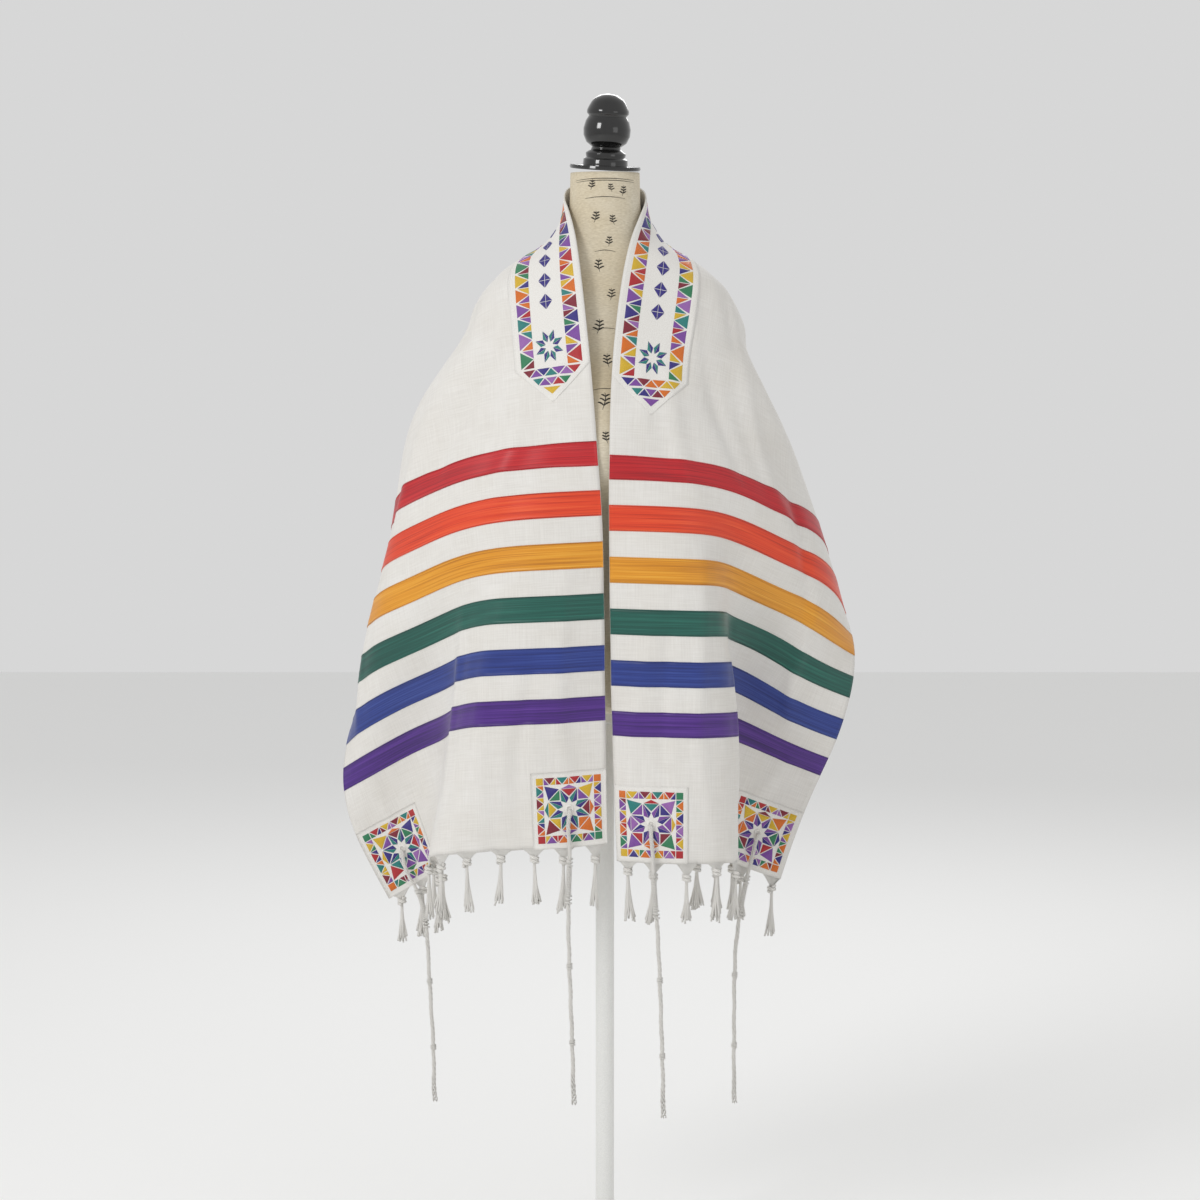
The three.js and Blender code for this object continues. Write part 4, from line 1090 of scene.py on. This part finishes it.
def turned(name, profile, sides=72):
    """Turned work: a disc drawn up and scaled ring by ring through (radius, height) in mm."""
    bpy.ops.object.select_all(action="DESELECT")
    radius, height = profile[0]
    bpy.ops.mesh.primitive_circle_add(vertices=sides, radius=radius * MM, fill_type="NGON",
                                      location=(0, 0, height * MM))
    piece = bpy.context.object
    piece.name = name
    bpy.ops.object.mode_set(mode="EDIT")
    bpy.ops.mesh.select_all(action="SELECT")
    for next_radius, next_height in profile[1:]:
        bpy.ops.mesh.extrude_region_move(TRANSFORM_OT_translate={"value": (0, 0,
                                                                           (next_height - height) * MM)})
        bpy.ops.transform.resize(value=(next_radius / radius, next_radius / radius, 1))
        radius, height = next_radius, next_height
    bpy.ops.mesh.select_all(action="SELECT")
    bpy.ops.mesh.normals_make_consistent(inside=False)
    bpy.ops.object.mode_set(mode="OBJECT")
    bpy.ops.object.transform_apply(location=True, rotation=True, scale=True)
    bpy.ops.object.shade_smooth_by_angle(angle=math.radians(38))
    piece.select_set(False)
    return piece


CAP = [(46.5, 0), (47.5, 2), (46.5, 5), (30, 6), (29.5, 13), (26, 15), (27, 21), (20, 26), (19, 29),
       (27, 35), (31, 44),
       (31.5, 53), (29, 63), (25, 70), (28, 73), (28, 77), (26, 82), (21, 91), (12, 97), (4, 98.8), (0.5, 99)]
heights = [0.0, 1.0, 2.0, 3.5, 5.0, 5.6, 6.0, 12.5, 13.2, 14.2, 15.5, 20.5, 21.3, 25.5, 26.5, 29.0, 31.5, 35,
           39, 44, 48.5,
           53, 58, 63, 67, 69.5, 70.5, 72.5, 73.5, 76.5, 77.5, 80, 84, 88, 91.5, 94.5, 97, 98.3, 98.9]
radii = np.interp(heights, [h for _, h in CAP], [r for r, _ in CAP])
cap = turned("neck_cap_turned", [(float(r), h) for r, h in zip(radii, heights)] + [(1.0, 99.0)])
cap.data.transform(Matrix.Translation((0, FORM[-1, 3] * MM, (FORM[-1, 0] + 5) * MM))
                   @ Matrix.Rotation(math.radians(3), 4, "Y") @ Matrix.Rotation(math.radians(5), 4, "X"))
cap.data.materials.append(lacquer)
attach(cap, "root")
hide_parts("neck_cap")

# ---------------------------------------------------------------- stand
# A steel tube on a round pressed base, both painted off-white.
paint, tree, bsdf = start_material("off_white_powder_coat")
orange_peel = add_node(tree, "ShaderNodeTexNoise",
                       {"Vector": add_node(tree, "ShaderNodeTexCoord").outputs["Object"],
                                                    "Scale": 700.0, "Detail": 2.0}).outputs["Fac"]
tree.links.new(ramp(tree, orange_peel, [(0.3, "#dededb"), (0.7, "#e8e8e5")]), bsdf.inputs["Base Color"])
tree.links.new(add_node(tree, "ShaderNodeBump",
                        {"Height": orange_peel, "Strength": 0.15, "Distance": 0.0004}).outputs["Normal"],
               bsdf.inputs["Normal"])
bsdf.inputs["Roughness"].default_value = 0.4
POLE_TOP = FORM[0, 0] - 14.3
pole = turned("pole_tube", [(11.5, 42.3), (12.5, 43.3), (12.5, 70), (15.5, 71), (15.5, 96), (12.5, 97),
                            (12.5, POLE_TOP - 22), (17, POLE_TOP - 20), (17, POLE_TOP)], 48)
base = turned("base_plate", [(168, 0), (170, 2), (170, 6), (169, 7.6), (164, 9), (120, 12), (80, 14.4),
                             (60, 16), (40, 18),
                             (31, 20), (26, 30), (22, 40), (20, 42)], 128)
for piece, node in ((pole, "pole"), (base, "base")):
    piece.data.materials.append(paint)
    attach(piece, "root")
    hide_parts(node)

# ---------------------------------------------------------------- floor, light and camera
bpy.ops.object.select_all(action="DESELECT")
bpy.ops.mesh.primitive_plane_add(size=14, location=(0, 0, -0.0005))
floor = bpy.context.object
floor.name = "floor"
floor_paint, tree, bsdf = start_material("white_floor")
bsdf.inputs["Base Color"].default_value = linear("#f4f4f3")
bsdf.inputs["Roughness"].default_value = 0.9
floor.data.materials.append(floor_paint)

world = bpy.data.worlds.new("studio")
bpy.context.scene.world = world
world.use_nodes = True
world.node_tree.nodes["Background"].inputs["Color"].default_value = (1.0, 1.0, 1.0, 1.0)
world.node_tree.nodes["Background"].inputs["Strength"].default_value = 0.68
bpy.context.scene.view_settings.view_transform = "Standard"


def soft_box(name, place, look_at, size, power):
    light = bpy.data.lights.new(name, "AREA")
    light.shape = "RECTANGLE"
    light.size, light.size_y = size
    light.energy = power
    lamp = bpy.data.objects.new(name, light)
    lamp.location = place
    lamp.rotation_euler = (Vector(look_at) - Vector(place)).to_track_quat("-Z", "Y").to_euler()
    bpy.context.scene.collection.objects.link(lamp)


soft_box("key", (-2.3, -2.6, 2.9), (0, 0, 1.0), (1.1, 1.4), 50)
soft_box("fill", (2.6, -2.9, 1.7), (0, 0, 1.0), (1.6, 1.6), 7)
soft_box("back", (0.4, 2.8, 2.8), (0, 0, 1.1), (2.0, 1.4), 24)

camera_data = bpy.data.cameras.new("camera")
camera_data.sensor_width = 36
camera_data.lens = 36 * 2984 / 1200
camera = bpy.data.objects.new("camera", camera_data)
camera.location = (-0.0067, -4.0, 1.3)
camera.rotation_euler = (Vector((-0.0067, 0, 0.925)) - camera.location).to_track_quat("-Z", "Y").to_euler()
bpy.context.scene.collection.objects.link(camera)
bpy.context.scene.camera = camera
